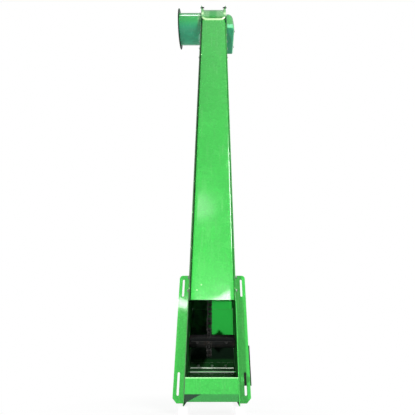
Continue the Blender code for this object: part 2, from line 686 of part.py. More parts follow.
def loop_place(distance):
    """A point on the chain's pitch line and the direction outwards there.

    The distance starts at the bottom of the loop and runs up the front, over the head and down the back.
    """
    quarter = math.pi * PITCH_RADIUS / 2
    run = HEAD_Z - BOOT_Z
    if distance < quarter:
        angle, centre = distance / PITCH_RADIUS, BOOT_Z
    elif distance < quarter + run:
        return (-PITCH_RADIUS, BOOT_Z + distance - quarter), (-1.0, 0.0)
    elif distance < 3 * quarter + run:
        angle, centre = (distance - run) / PITCH_RADIUS, HEAD_Z
    elif distance < 3 * quarter + 2 * run:
        return (PITCH_RADIUS, HEAD_Z - (distance - 3 * quarter - run)), (1.0, 0.0)
    else:
        angle, centre = (distance - 2 * run) / PITCH_RADIUS, BOOT_Z
    outward = (-math.sin(angle), -math.cos(angle))
    return (outward[0] * PITCH_RADIUS, centre + outward[1] * PITCH_RADIUS), outward


def make_chain():
    """The closed loop of links as one band."""
    ends = (CHAIN_X - CHAIN_HALF_WIDTH, CHAIN_X + CHAIN_HALF_WIDTH)
    radii = (PITCH_RADIUS + CHAIN_HALF_HEIGHT, PITCH_RADIUS - CHAIN_HALF_HEIGHT)
    mesh_data = bmesh.new()
    rings = []
    for radius in radii:
        points = arc((0, HEAD_Z), radius, 0, 180, 16) + arc((0, BOOT_Z), radius, 180, 360, 16)
        rings.append([[mesh_data.verts.new((x, *point)) for point in points] for x in ends])
    (outer_low, outer_high), (inner_low, inner_high) = rings
    for i in range(len(outer_low)):
        j = (i + 1) % len(outer_low)
        for first, second in (
            (outer_low, outer_high),
            (outer_high, inner_high),
            (inner_high, inner_low),
            (inner_low, outer_low),
        ):
            mesh_data.faces.new((first[i], first[j], second[j], second[i]))
    to_object("drag_chain", mesh_data, "dark_steel")


def make_paddles():
    notch = CHAIN_HALF_WIDTH + 0.0015
    notch_top = CHAIN_HALF_HEIGHT + GAP
    low, high = PADDLE_INNER - PITCH_RADIUS, PADDLE_OUTER - PITCH_RADIUS
    half = PADDLE_HALF_WIDTH
    outline = [(-half, low), (CHAIN_X - notch, low), (CHAIN_X - notch, notch_top)]
    outline += [(CHAIN_X + notch, notch_top), (CHAIN_X + notch, low)]
    outline += [(half, low), (half, high), (-half, high)]
    outline = [(z, x) for x, z in outline]
    spacing = LINKS_PER_PADDLE * LINK_PITCH
    first = math.pi * PITCH_RADIUS / 2  # level with the boot shaft, pointing forward
    ends = (-PADDLE_THICKNESS / 2, PADDLE_THICKNESS / 2)
    for k in range(LINKS // LINKS_PER_PADDLE):
        place, outward = loop_place(first + k * spacing)
        paddle = prism(f"paddle_{k + 1:02d}", outline, "Y", ends, "black_rubber")
        paddle.location = (0, *place)
        paddle.rotation_euler.x = math.atan2(-outward[0], outward[1])


def place_over_origin():
    """Hangs every piece on one empty that stands CASING_X to the right."""
    machine = bpy.data.objects.new("machine", None)
    machine.location.x = CASING_X
    for piece in bpy.data.objects:
        if piece is not machine and piece.parent is None:
            piece.parent = machine
    bpy.context.scene.collection.objects.link(machine)


clear_scene()
make_casing()
make_head_plates()
make_cap_bolts()
make_cap()
make_outlet()
make_auger()
make_hanger()
make_head_shaft()
make_sprocket("head_sprocket", HEAD_Z, HEAD_SHAFT + GAP, 0.024)
make_drive()
make_guard()
make_boot_sides()
make_boot_shell()
make_floor_strip()
make_door()
make_latch()
make_mounts()
make_boot_shaft()
make_sprocket("boot_sprocket", BOOT_Z, BOOT_BARREL + GAP, 0.0265)
make_take_up()
make_chain()
make_paddles()
place_over_origin()
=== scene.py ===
"""Looks for the grain elevator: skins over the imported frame, procedural materials, light and camera."""

import json
from math import atan2, ceil, copysign, cos, pi, radians, sin, sqrt, tan

import bmesh
import bpy
from mathutils import Matrix, Vector, noise


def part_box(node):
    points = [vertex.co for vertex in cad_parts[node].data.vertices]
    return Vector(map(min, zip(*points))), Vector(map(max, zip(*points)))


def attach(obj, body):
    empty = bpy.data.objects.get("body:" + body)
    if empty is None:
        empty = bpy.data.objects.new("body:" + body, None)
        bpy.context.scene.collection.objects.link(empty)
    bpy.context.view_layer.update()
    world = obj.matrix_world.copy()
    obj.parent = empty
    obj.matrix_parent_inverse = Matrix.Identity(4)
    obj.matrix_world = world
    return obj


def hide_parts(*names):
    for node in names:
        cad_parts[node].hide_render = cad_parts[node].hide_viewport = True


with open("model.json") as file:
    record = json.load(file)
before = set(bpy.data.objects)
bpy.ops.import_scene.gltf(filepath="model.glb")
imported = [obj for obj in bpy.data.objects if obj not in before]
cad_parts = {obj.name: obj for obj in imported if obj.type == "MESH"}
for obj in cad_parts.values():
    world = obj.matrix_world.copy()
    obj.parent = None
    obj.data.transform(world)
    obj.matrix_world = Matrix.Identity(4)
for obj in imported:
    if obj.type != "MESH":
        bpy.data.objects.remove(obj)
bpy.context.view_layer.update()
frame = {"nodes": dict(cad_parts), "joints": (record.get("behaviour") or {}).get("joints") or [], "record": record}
SHEET = 0.002  # thickness of the casing's sheet
LID_CORNER = 0.0095
BOLT = 0.0062  # radius of the side plates' bolt heads
ROOT = "casing"
JOINTS = {joint["name"]: joint for joint in frame["joints"]}
# Places here are measured from the casing's middle, which stands this far from the frame's origin.
SHIFT = Vector(((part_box("boot_side_left")[0].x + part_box("boot_side_right")[1].x) / 2, 0.0, 0.0))


def size_of(node):
    """A CAD node's low corner, high corner and middle."""
    low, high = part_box(node)
    low, high = low - SHIFT, high - SHIFT
    return low, high, (low + high) / 2


HEAD = Vector(JOINTS["head_spin"]["pos_m"]) - SHIFT
BOOT = Vector(JOINTS["boot_spin"]["pos_m"]) - SHIFT
LID_LOW, LID_HIGH, _ = size_of("front_lid")
TROUGH_LOW, TROUGH_HIGH, _ = size_of("casing_trough")
BOOT_HIGH = size_of("boot_side_right")[1]
CHAIN_LOW, CHAIN_HIGH, CHAIN_MIDDLE = size_of("drag_chain")

# ---- materials


def nodes_of(owner):
    owner.use_nodes = True
    tree = owner.node_tree
    tree.nodes.clear()
    return tree


class Graph:
    """A short way to add and link shader nodes."""

    def __init__(self, name):
        self.material = bpy.data.materials.new(name)
        self.tree = nodes_of(self.material)
        self.place = self.add("TexCoord").outputs["Object"]
        self.normal = self.add("NewGeometry").outputs["Normal"]
        self.x, self.y, self.z = self.parts(self.place)
        self.across, self.forward, self.up = self.parts(self.normal)

    def add(self, kind, **settings):
        node = self.tree.nodes.new("ShaderNode" + kind)
        for key, value in settings.items():
            setattr(node, key, value)
        return node

    def feed(self, socket, value):
        if isinstance(value, bpy.types.NodeSocket):
            self.tree.links.new(value, socket)
        else:
            socket.default_value = value

    def noise(self, scale, detail, stretch=None):
        node = self.add("TexNoise")
        place = self.place
        if stretch:
            mapping = self.add("Mapping")
            self.feed(mapping.inputs["Vector"], place)
            self.feed(mapping.inputs["Scale"], stretch)
            place = mapping.outputs[0]
        for key, value in (("Vector", place), ("Scale", scale), ("Detail", detail), ("Roughness", 0.55)):
            self.feed(node.inputs[key], value)
        return node.outputs["Fac"]

    def ranged(self, value, low, high, new_low=0.0, new_high=1.0):
        node = self.add("MapRange")
        node.interpolation_type = "SMOOTHSTEP"
        for socket, part in zip(node.inputs, (value, low, high, new_low, new_high)):
            self.feed(socket, part)
        return node.outputs[0]

    def maths(self, operation, first, second=0.0):
        node = self.add("Math", operation=operation)
        self.feed(node.inputs[0], first)
        self.feed(node.inputs[1], second)
        return node.outputs[0]

    def mixed(self, share, first, second):
        node = self.add("Mix", data_type="RGBA")
        self.feed(node.inputs["Factor"], share)
        colours = [socket for socket in node.inputs if socket.type == "RGBA"]
        self.feed(colours[0], first)
        self.feed(colours[1], second)
        return [socket for socket in node.outputs if socket.type == "RGBA"][0]

    def parts(self, vector):
        node = self.add("SeparateXYZ")
        self.feed(node.inputs[0], vector)
        return node.outputs

    def product(self, *factors):
        result = factors[0]
        for factor in factors[1:]:
            result = self.maths("MULTIPLY", result, factor)
        return result

    def other(self, share):
        """What is left of 1."""
        return self.maths("SUBTRACT", 1.0, share)

    def above(self, value, edge, width=0.0006):
        """0 below the edge and 1 above it."""
        return self.ranged(value, edge - width, edge + width)

    def below(self, value, edge, width=0.0006):
        """1 below the edge and 0 above it."""
        return self.other(self.above(value, edge, width))

    def inside(self):
        """1 on the walls that face the casing's middle line from within."""
        x = self.maths("SUBTRACT", self.x, SHIFT.x)
        turned_in = self.maths("ADD", self.product(x, self.across), self.product(self.y, self.forward))
        within = self.below(self.maths("ABSOLUTE", x), BOOT_HIGH.x - 0.0028, 0.0004)
        return self.product(within, self.ranged(turned_in, -0.004, -0.012))

    def edges(self, radius):
        """1 where the surface bends sharply within the radius."""
        bevel = self.add("Bevel", samples=6)
        self.feed(bevel.inputs["Radius"], radius)
        dot = self.add("VectorMath", operation="DOT_PRODUCT")
        self.feed(dot.inputs[0], bevel.outputs[0])
        self.feed(dot.inputs[1], self.normal)
        return self.ranged(self.other(dot.outputs["Value"]), 0.012, 0.04)

    def bump(self, height, strength, distance, after=None):
        node = self.add("Bump")
        for key, value in (("Height", height), ("Strength", strength), ("Distance", distance)):
            self.feed(node.inputs[key], value)
        if after is not None:
            self.feed(node.inputs["Normal"], after)
        return node.outputs[0]

    def shader(self, **inputs):
        node = self.add("BsdfPrincipled")
        for key, value in inputs.items():
            self.feed(node.inputs[key.replace("_", " ")], value)
        output = self.add("OutputMaterial")
        self.tree.links.new(node.outputs[0], output.inputs["Surface"])
        return self.material


def rgb(red, green, blue):
    return (red, green, blue, 1.0)


# Painted shade and painted light for the casing's inside: near black where the shadow lies, and the lit green of
# the rear wall right of the chain.
SHADE_BLACK, LIT_GREEN = rgb(0.005, 0.010, 0.007), rgb(0.028, 0.50, 0.066)


def in_painted_shade(g):
    """0 on the half of the rear wall right of the chain, which is painted as lit, and 1 elsewhere, where the
    inside is painted in shade.
    """
    rear = g.above(g.maths("MULTIPLY", g.forward, -1.0), 0.5, 0.1)
    return g.other(g.product(rear, g.above(g.x, SHIFT.x - 0.004, 0.002)))


def paint(name, base, deep, dust=0.10, wear=0.55, grime=0.0, gloss=1.0, inside_shade=0.75, marks=None):
    """Glossy enamel on sheet steel: slight mottling, drips of dust, orange peel, and wear on the edges.

    Inside the casing it is dull, with painted shade: patchy near black over the inner faces, except the rear wall
    right of the chain, which is painted the lit green. The marks function may tint the colour by place.
    """
    g = Graph(name)
    patches = g.ranged(g.noise(3.1, 5.0), 0.32, 0.70)
    base, deep = rgb(*base), rgb(*deep)
    colour = g.mixed(patches, base, deep)
    fine = g.ranged(g.noise(140.0, 3.0), 0.35, 0.75)
    lighter = rgb(*(min(1.0, channel * 1.6 + 0.02 * base[1]) for channel in base[:3]))
    colour = g.mixed(g.product(fine, 0.30), colour, lighter)
    streaks = g.ranged(g.noise(9.0, 6.0, (9.0, 9.0, 0.7)), 0.52, 0.80)
    colour = g.mixed(g.product(streaks, dust), colour, rgb(0.42, 0.62, 0.36))
    specks = g.ranged(g.noise(420.0, 1.0), 0.72, 0.80)
    colour = g.mixed(g.product(specks, 0.30), colour, rgb(0.10, 0.16, 0.08))
    if grime:
        dirt = g.ranged(g.noise(22.0, 6.0), 0.30, 0.72)
        colour = g.mixed(g.product(dirt, grime), colour, rgb(0.020, 0.035, 0.020))
    within = g.inside()
    outside = g.other(within)
    chips = g.ranged(g.noise(260.0, 4.0), 0.50, 0.60)
    worn = g.product(g.edges(0.0012), chips, wear, g.ranged(outside, 0.0, 1.0, 0.12, 1.0))
    colour = g.mixed(worn, colour, rgb(0.30, 0.33, 0.30))
    if marks:
        colour = marks(g, colour)
    # Painted shade inside the casing, patchy near black, and painted light on the rear wall right of the chain.
    if inside_shade:
        shade_side = in_painted_shade(g)
        shade_patches = g.ranged(g.noise(26.0, 6.0), 0.30, 0.75, inside_shade, min(inside_shade + 0.2, 1.0))
        colour = g.mixed(g.product(within, g.other(shade_side)), colour, LIT_GREEN)
        colour = g.mixed(g.product(shade_patches, within, shade_side), colour, SHADE_BLACK)
    shine = g.ranged(g.noise(14.0, 5.0), 0.3, 0.75, 0.19, 0.34)
    shine = g.maths("ADD", shine, g.product(streaks, 0.08))
    shine = g.maths("ADD", shine, g.product(within, 0.35))
    peel = g.bump(g.noise(520.0, 2.0), 0.05, 0.0004)
    coat = g.product(outside, gloss)
    return g.shader(
        Base_Color=colour,
        Roughness=shine,
        Normal=g.bump(g.noise(11.0, 3.0), 0.22, 0.0010, peel),
        Metallic=g.product(worn, 0.6),
        Coat_Weight=coat,
        Coat_Roughness=0.06,
        Coat_Normal=peel,
        Specular_IOR_Level=g.ranged(coat, 0.0, 1.0, 0.05, 0.42),
    )


def steel(name, base, tint, roughness, grain, metal=1.0, rust=0.0, shine_level=0.5):
    """Machined or rolled steel: fine grain, oily patches, and a little rust where asked."""
    g = Graph(name)
    patches = g.ranged(g.noise(30.0, 6.0), 0.3, 0.7)
    colour = g.mixed(patches, rgb(*base), rgb(*tint))
    colour = g.mixed(g.product(g.edges(0.0008), shine_level), colour, rgb(0.62, 0.62, 0.60))
    if rust:
        spots = g.product(g.ranged(g.noise(75.0, 7.0), 0.56, 0.66), rust)
        colour = g.mixed(spots, colour, rgb(0.16, 0.060, 0.020))
        metal = g.maths("SUBTRACT", metal, g.product(spots, metal))
    pits = g.bump(g.noise(500.0, 2.0), 0.12, 0.0003)
    return g.shader(
        Base_Color=colour,
        Roughness=g.ranged(g.noise(60.0, 4.0), 0.3, 0.7, roughness - 0.06, roughness + 0.12),
        Metallic=metal,
        Normal=g.bump(g.noise(grain, 3.0, (6.0, 1.0, 1.0)), 0.18, 0.0003, pits),
        Specular_IOR_Level=shine_level,
    )


def rubber(name):
    """Belting rubber: matt black with a faint woven print and pale chaff dust."""
    g = Graph(name)
    dust = g.ranged(g.noise(45.0, 7.0), 0.50, 0.80)
    colour = g.mixed(g.product(dust, 0.10), rgb(0.0035, 0.0042, 0.0040), rgb(0.040, 0.040, 0.032))
    colour = g.mixed(g.product(g.edges(0.0015), 0.25), colour, rgb(0.045, 0.045, 0.043))
    weave = g.add("TexWave", wave_type="BANDS", bands_direction="DIAGONAL")
    for key, value in (("Vector", g.place), ("Scale", 260.0), ("Distortion", 1.2)):
        g.feed(weave.inputs[key], value)
    normal = g.bump(weave.outputs["Fac"], 0.25, 0.0003, g.bump(g.noise(300.0, 4.0), 0.20, 0.0004))
    shine = g.ranged(dust, 0.0, 1.0, 0.48, 0.80)
    return g.shader(Base_Color=colour, Roughness=shine, Normal=normal, Specular_IOR_Level=0.08)


# Painted shade: the darker greens of the left lip and of the skirt's bent lower edge.
LIP_SHADE, SKIRT_SHADE = rgb(0.050, 0.135, 0.050), rgb(0.024, 0.22, 0.044)
# Painted shade: the darker blue-green of faces turned downwards.
SHADE_TEAL = rgb(0.022, 0.33, 0.180)


def lip_marks(g, colour):
    """Painted shade along the left lip, beside the lid's folded edge, which shades it from the light on the right.
    """
    beside = g.below(g.x, SHIFT.x + LID_LOW.x + 0.0005)
    beside = g.product(beside, g.above(g.x, SHIFT.x + TROUGH_LOW.x + 0.0002, 0.0001))
    beside = g.product(beside, g.below(g.y, TROUGH_LOW.y + 0.0035))
    below_top = g.below(g.z, TROUGH_HIGH.z + 0.07, 0.03)
    patchy = g.ranged(g.noise(16.0, 5.0), 0.2, 0.6, 0.72, 1.0)
    return g.mixed(g.product(beside, below_top, patchy), colour, LIP_SHADE)


def skirt_marks(g, colour):
    """A bare pale upper edge, painted shade on the bent lower edge, which faces down, and a painted shadow of the
    left wall in its left corner.
    """
    colour = g.mixed(g.product(g.above(g.z, FRONT_TOP - 0.0032), 0.75), colour, rgb(0.42, 0.88, 0.40))
    low = g.below(g.z, BOOT_FRONT_BEND, 0.0010)
    colour = g.mixed(g.product(low, 0.85), colour, SKIRT_SHADE)
    # Painted shadow of the left wall, widening upwards from the skirt's left corner.
    slope = g.product(g.maths("SUBTRACT", g.z, SKIRT_SHADOW_START[1]), SKIRT_SHADOW_SLOPE)
    reach = g.maths("ADD", slope, SHIFT.x + SKIRT_SHADOW_START[0])
    corner = g.below(g.maths("SUBTRACT", g.x, reach), 0.0, 0.0015)
    return g.mixed(g.product(low, corner, 0.93), colour, rgb(0.006, 0.022, 0.014))


def floor_marks(g, colour):
    """Painted shade: the rear of the curved floor is painted black; its outside is clean green."""
    colour = g.mixed(g.product(g.ranged(g.z, 0.139, 0.150), 0.9), colour, SHADE_BLACK)
    towards_shaft = g.product(g.maths("SUBTRACT", g.z, BOOT.z), g.up)
    towards_shaft = g.maths("ADD", towards_shaft, g.product(g.y, g.forward))
    return g.mixed(g.above(towards_shaft, 0.0, 0.004), colour, rgb(0.032, 0.38, 0.050))


def strip_marks(g, colour):
    """Pale lines along the floor strip's edges, the front one widest; the front one is painted light, the light
    seen through the gap between the floor and the clean-out door.
    """
    low, high, _ = size_of("floor_strip")
    pale_lines = g.maths("MAXIMUM", g.below(g.y, low.y + 0.0040), g.above(g.y, high.y - 0.0014))
    return g.mixed(g.product(pale_lines, 0.95), colour, rgb(0.80, 0.92, 0.78))


def under_shade_marks(g, colour):
    """Painted shade: the downward faces of the head are painted a darker blue-green."""
    return g.mixed(g.product(g.ranged(g.up, -0.35, -0.95), 0.9), colour, SHADE_TEAL)


def flange_shade_marks(g, colour):
    """Painted shade on the flange, darkest at its bottom."""
    low = g.ranged(g.z, HEAD.z + 0.11, HEAD.z - 0.05)
    return g.mixed(g.ranged(low, 0.0, 1.0, 0.45, 0.96), colour, rgb(0.006, 0.016, 0.010))


def rise_marks(g, colour):
    """The turned-up ends of the lip keep the head's darker green, without the lip's painted highlight."""
    risen = g.ranged(g.z, LID_HIGH.z + 0.010, LID_HIGH.z + 0.050)
    return g.mixed(g.product(risen, 0.85), colour, rgb(0.06, 0.42, 0.08))


def cap_marks(g, colour):
    """Paler along both sides of the cap than in its middle."""
    across = g.maths("ABSOLUTE", g.maths("SUBTRACT", g.x, SHIFT.x - 0.004))
    return g.mixed(g.product(g.ranged(across, 0.018, 0.040), 0.22), colour, rgb(0.55, 0.80, 0.50))


def collar_marks(g, colour):
    """A paler band where the tube enters the head."""
    near = g.ranged(g.x, SHIFT.x - 0.135, SHIFT.x - 0.120)
    return under_shade_marks(g, g.mixed(g.product(near, 0.25), colour, rgb(0.45, 0.75, 0.42)))


BOOT_FRONT_BEND = 0.0350  # height of the fold in the boot's front plate
FRONT_TOP = size_of("boot_front_plate")[1].z
# The corner's painted shadow starts at this x and z, and widens upwards this fast.
SKIRT_SHADOW_START, SKIRT_SHADOW_SLOPE = (-0.082, 0.014), 2.12
OUTER_PAINT = paint("enamel_outer", (0.034, 0.42, 0.052), (0.029, 0.37, 0.046), marks=lip_marks)
FRONT_PAINT = paint("enamel_front", (0.034, 0.40, 0.052), (0.029, 0.36, 0.046), marks=skirt_marks)
SIDE_PAINT = paint("enamel_sides", (0.032, 0.38, 0.050), (0.026, 0.33, 0.043), 0.06, marks=lip_marks)
INNER_PAINT = paint("enamel_inner", (0.030, 0.56, 0.070), (0.025, 0.50, 0.062), 0.03, 0.1, inside_shade=0.8)
FLOOR_LOOK = {"dust": 0.0, "wear": 0.0, "grime": 0.4, "gloss": 0.0, "inside_shade": 0.0}
# Painted shade: the floor's dark greens stand for the shade inside the boot; the patchy grime over them is dirt.
FLOOR_SHADE_GREEN = (0.008, 0.062, 0.012), (0.006, 0.040, 0.009)
FLOOR_PAINT = paint("enamel_floor", *FLOOR_SHADE_GREEN, **FLOOR_LOOK, marks=floor_marks)
STRIP_PAINT = paint("enamel_strip", *FLOOR_SHADE_GREEN, **FLOOR_LOOK, marks=strip_marks)
HEAD_PAINT = paint("enamel_head", (0.040, 0.38, 0.070), (0.034, 0.34, 0.064), 0.05, marks=under_shade_marks)
CAP_PAINT = paint("enamel_cap", (0.040, 0.34, 0.070), (0.034, 0.30, 0.060), 0.05, marks=cap_marks)
TUBE_PAINT = paint("enamel_tube", (0.036, 0.38, 0.085), (0.030, 0.33, 0.078), 0.04, marks=collar_marks)
# The flange's dark green is painted shade.
FLANGE_SHADE_PAINT = paint(
    "enamel_flange_shaded", (0.030, 0.22, 0.050), (0.020, 0.16, 0.036), 0.0, gloss=0.0, marks=flange_shade_marks
)
EDGE_PAINT = paint("enamel_light", (0.42, 0.92, 0.36), (0.34, 0.84, 0.28), 0.05, 0.3)
# Painted highlight: the lip's near-white green stands for the light's reflection along the roll.
LIP_HIGHLIGHT_PAINT = paint("enamel_lip_highlight", (0.62, 0.98, 0.50), (0.50, 0.92, 0.40), 0.05, 0.3, marks=rise_marks)
# Painted highlight: the guard band's bright green.
BAND_HIGHLIGHT_PAINT = paint("enamel_band_highlight", (0.17, 0.74, 0.34), (0.14, 0.66, 0.30), 0.05, 0.3)
RUBBER = rubber("belting_rubber")
DARK_STEEL = steel(
    "dark_oiled_steel", (0.020, 0.021, 0.023), (0.034, 0.033, 0.030), 0.45, 120.0, 0.6, 0.2
)
SOOTED_STEEL = steel(
    "greasy_black_steel", (0.007, 0.008, 0.008), (0.012, 0.012, 0.011), 0.62, 120.0, 0.0, 0.05, 0.08
)
BRIGHT_STEEL = steel("bright_machined_steel", (0.50, 0.51, 0.52), (0.38, 0.38, 0.38), 0.30, 260.0)
ZINC = steel("zinc_plated_steel", (0.48, 0.50, 0.50), (0.36, 0.37, 0.34), 0.34, 300.0, 0.9, 0.12)
FLIGHT_STEEL = steel(
    "polished_flighting", (0.42, 0.42, 0.41), (0.27, 0.25, 0.22), 0.28, 90.0, 0.95, 0.35
)
WELD = steel("painted_weld", (0.055, 0.40, 0.075), (0.040, 0.32, 0.055), 0.38, 200.0, 0.0, 0.0, 0.2)

NODE_FINISH = {
    "green_paint": OUTER_PAINT,
    "bright_steel": BRIGHT_STEEL,
    "dark_steel": DARK_STEEL,
    "black_rubber": RUBBER,
}
FINISHED_NODES = (
    (SIDE_PAINT, ("casing_trough", "latch_bolt", "latch_guide")),
    (INNER_PAINT, ("divider_plate", "boot_back_plate")),
    (FRONT_PAINT, ("boot_front_plate",)),
    (FLOOR_PAINT, ("boot_floor", "cleanout_door")),
    (STRIP_PAINT, ("floor_strip",)),
    (HEAD_PAINT, ("head_side_left", "head_side_right")),
    (SOOTED_STEEL, ("boot_shaft", "boot_sprocket")),
    (FLIGHT_STEEL, ("head_auger",)),
    (DARK_STEEL, ("door_hinge_pin",)),
    (ZINC, ("floor_bolt_left", "floor_bolt_middle", "floor_bolt_right")),
    (ZINC, ("take_up_screw_left", "take_up_screw_right")),
)
SPECIAL_FINISH = {node: finish for finish, nodes in FINISHED_NODES for node in nodes}


def bevelled(piece, width=0.0004, segments=2):
    """A fine bevel on the piece's sharp edges, which catches light."""
    bevel = piece.modifiers.new("edge", "BEVEL")
    bevel.width, bevel.segments, bevel.limit_method = width, segments, "ANGLE"
    bevel.angle_limit = radians(50)
    return piece


def finish_nodes():
    """Each CAD node gets its material and a bevel."""
    for row in frame["record"]["subparts"]:
        node = frame["nodes"][row["node"]]
        material = SPECIAL_FINISH.get(row["node"], NODE_FINISH[row["material_slot"]])
        node.data.materials.clear()
        node.data.materials.append(material)
        bevelled(node)


# ---- mesh helpers


def linked(name, data):
    """A new object in the scene."""
    item = bpy.data.objects.new(name, data)
    bpy.context.scene.collection.objects.link(item)
    return item


def mesh_from(bm, name, material, smooth_angle=None):
    """A mesh from the bmesh, which is freed; smooth up to the angle if one is given."""
    mesh = bpy.data.meshes.new(name)
    bm.to_mesh(mesh)
    bm.free()
    mesh.materials.append(material)
    if smooth_angle:
        mesh.shade_smooth()
        mesh.set_sharp_from_angle(angle=radians(smooth_angle))
    return mesh


def made(name, bm, material, stands_for=(), body=ROOT, smooth_angle=35):
    """Turns a bmesh measured from the casing's middle into a piece that rides on a body."""
    bmesh.ops.remove_doubles(bm, verts=bm.verts, dist=1e-6)
    bmesh.ops.recalc_face_normals(bm, faces=bm.faces)
    bmesh.ops.translate(bm, verts=bm.verts, vec=SHIFT)
    piece = linked(name, mesh_from(bm, name, material, smooth_angle))
    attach(piece, body)
    if stands_for:
        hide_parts(*stands_for)
    return piece


def loft(bm, rings, closed_loft=False):
    """Faces between successive rings of points; the ends are filled unless the loft closes on itself."""
    made_rings = [[bm.verts.new(point) for point in ring] for ring in rings]
    count = len(made_rings[0])
    pairs = list(zip(made_rings, made_rings[1:]))
    if closed_loft:
        pairs.append((made_rings[-1], made_rings[0]))
    for here, following in pairs:
        for i in range(count):
            j = (i + 1) % count
            bm.faces.new((here[i], here[j], following[j], following[i]))
    if not closed_loft:
        bm.faces.new(made_rings[0])
        bm.faces.new(made_rings[-1][::-1])
    return bm


def rounded(corners, radius, steps=5):
    """The open path with each inner corner turned into an arc."""
    points = [Vector(corners[0])]
    for before, corner, after in zip(corners, corners[1:], corners[2:]):
        before, corner, after = Vector(before), Vector(corner), Vector(after)
        into, out = (corner - before).normalized(), (after - corner).normalized()
        turn = atan2(into.x * out.y - into.y * out.x, into.dot(out))
        reach = radius * tan(abs(turn) / 2)
        start = corner - into * reach
        centre = start + Vector((-into.y, into.x)) * radius * copysign(1.0, turn)
        for k in range(steps + 1):
            points.append(centre + Matrix.Rotation(turn * k / steps, 2) @ (start - centre))
    points.append(Vector(corners[-1]))
    return points


def offset_path(path, distance):
    """The path moved sideways, with its corners kept sharp."""
    moved = []
    last = len(path) - 1
    for i, point in enumerate(path):
        into = (path[max(i, 1)] - path[max(i, 1) - 1]).normalized()
        out = (path[min(i, last - 1) + 1] - path[min(i, last - 1)]).normalized()
        normal = Vector((-into.y, into.x))
        bisector = (normal + Vector((-out.y, out.x))).normalized()
        moved.append(point + bisector * (distance / bisector.dot(normal)))
    return moved


def sheet_outline(path):
    """The outline of a sheet whose middle follows the path."""
    path = [Vector(point) for point in path]
    return offset_path(path, SHEET / 2) + offset_path(path, -SHEET / 2)[::-1]


def finer(path, step):
    """The path with points added so that none are further apart than the step."""
    points = [Vector(path[0])]
    for start, end in zip(path, path[1:]):
        start, end = Vector(start), Vector(end)
        count = max(1, ceil((end - start).length / step))
        points += [start.lerp(end, k / count) for k in range(1, count + 1)]
    return points


def around(x, centre, radius, angle):
    """The point at this radius and angle about the line along X through the centre."""
    return x, centre.y + radius * sin(angle), centre.z + radius * cos(angle)


def turned_mesh(profile, centre, segments):
    """The closed profile of (x, radius) turned about the line along X through the centre."""
    angles = [2 * pi * k / segments for k in range(segments)]
    return loft(bmesh.new(), [[around(x, centre, r, a) for x, r in profile] for a in angles], True)


def arc(centre, radius, start, end, steps):
    angles = [radians(start + (end - start) * k / steps) for k in range(steps + 1)]
    return [(centre[0] + radius * cos(a), centre[1] + radius * sin(a)) for a in angles]


def aim(point, outward):
    """A matrix whose local Z looks outward from the point."""
    return Matrix.Translation(point) @ Vector(outward).to_track_quat("Z", "Y").to_matrix().to_4x4()


def add_ring_stack(bm, place, profile, sides, turn=0.0):
    """A capped stack of rings, each (height, radius), standing along the place's local Z."""
    angles = [turn + 2 * pi * k / sides for k in range(sides)]
    loft(bm, [[place @ Vector((r * cos(a), r * sin(a), h)) for a in angles] for h, r in profile])


def add_hex_bolt(bm, point, outward, radius, turn=0.0):
    """A chamfered hex head over a round washer."""
    place = aim(point, outward)
    washer = radius * 1.45
    low, high = radius * 0.2, radius * 1.05
    add_ring_stack(bm, place, [(-0.001, washer), (radius * 0.16, washer), (radius * 0.22, washer * 0.96)], 24)
    add_ring_stack(bm, place, [(low, radius), (high - radius * 0.14, radius), (high, radius * 0.84)], 6, turn)
    add_ring_stack(bm, place, [(high - 0.0004, radius * 0.80), (high + radius * 0.06, radius * 0.74)], 24)


def add_dome(bm, point, outward, radius):
    """A round rivet or carriage head."""
    profile = [(-0.001, radius)]
    profile += [(radius * 0.62 * sin(a), radius * cos(a)) for a in (0.0, 0.35, 0.7, 1.05, 1.35)]
    add_ring_stack(bm, aim(point, outward), profile, 20)


def add_weld(bm, start, end, radius, seed):
    """A rippled bead from start to end."""
    start, end = Vector(start), Vector(end)
    along = end - start
    steps = max(8, int(along.length / 0.0022))
    place = aim(start, along.normalized())
    angles = [2 * pi * i / 8 for i in range(8)]
    rings = []
    for k in range(steps + 1):
        share = k / steps
        wave = 1.0 + 0.13 * abs(sin(share * along.length / 0.0034 * pi))
        wave += 0.12 * noise.noise(Vector((share * 40.0, seed, 0.0)))
        size = radius * wave * (1.0 if 0 < k < steps else 0.35)
        height = share * along.length
        rings.append([place @ Vector((size * cos(a), size * sin(a), height)) for a in angles])
    loft(bm, rings)


# ---- casing


def make_lid():
    """The lid as a shallow pan: rounded long edges and slight oil-canning."""
    low, high = LID_LOW, LID_HIGH
    left, right, front = low.x + SHEET / 2, high.x - SHEET / 2, low.y + SHEET / 2
    corners = [(left, high.y), (left, front), (right, front), (right, high.y)]
    outline = sheet_outline(finer(rounded(corners, LID_CORNER), 0.012))
    steps = 150
    heights = [low.z + (high.z - low.z) * k / steps for k in range(steps + 1)]
    heights[1:3] = low.z + 0.003, low.z + 0.008
    rings = []
    for z in heights:
        ring = []
        for point in outline:
            share = (point.x - left) / (right - left)
            middle = max(0.0, sin(pi * min(max(share, 0.0), 1.0)))
            wave = noise.noise(Vector((point.x * 4.0, 3.7, z * 3.0))) * 0.0010
            wave += noise.noise(Vector((point.x * 11.0, 9.1, z * 9.0))) * 0.0003
            facing = 1.0 if point.y < front + 0.004 else 0.0
            ring.append((point.x, point.y + facing * wave * middle, z))
        rings.append(ring)
    made("lid_skin", loft(bmesh.new(), rings), OUTER_PAINT, stands_for=("front_lid",))


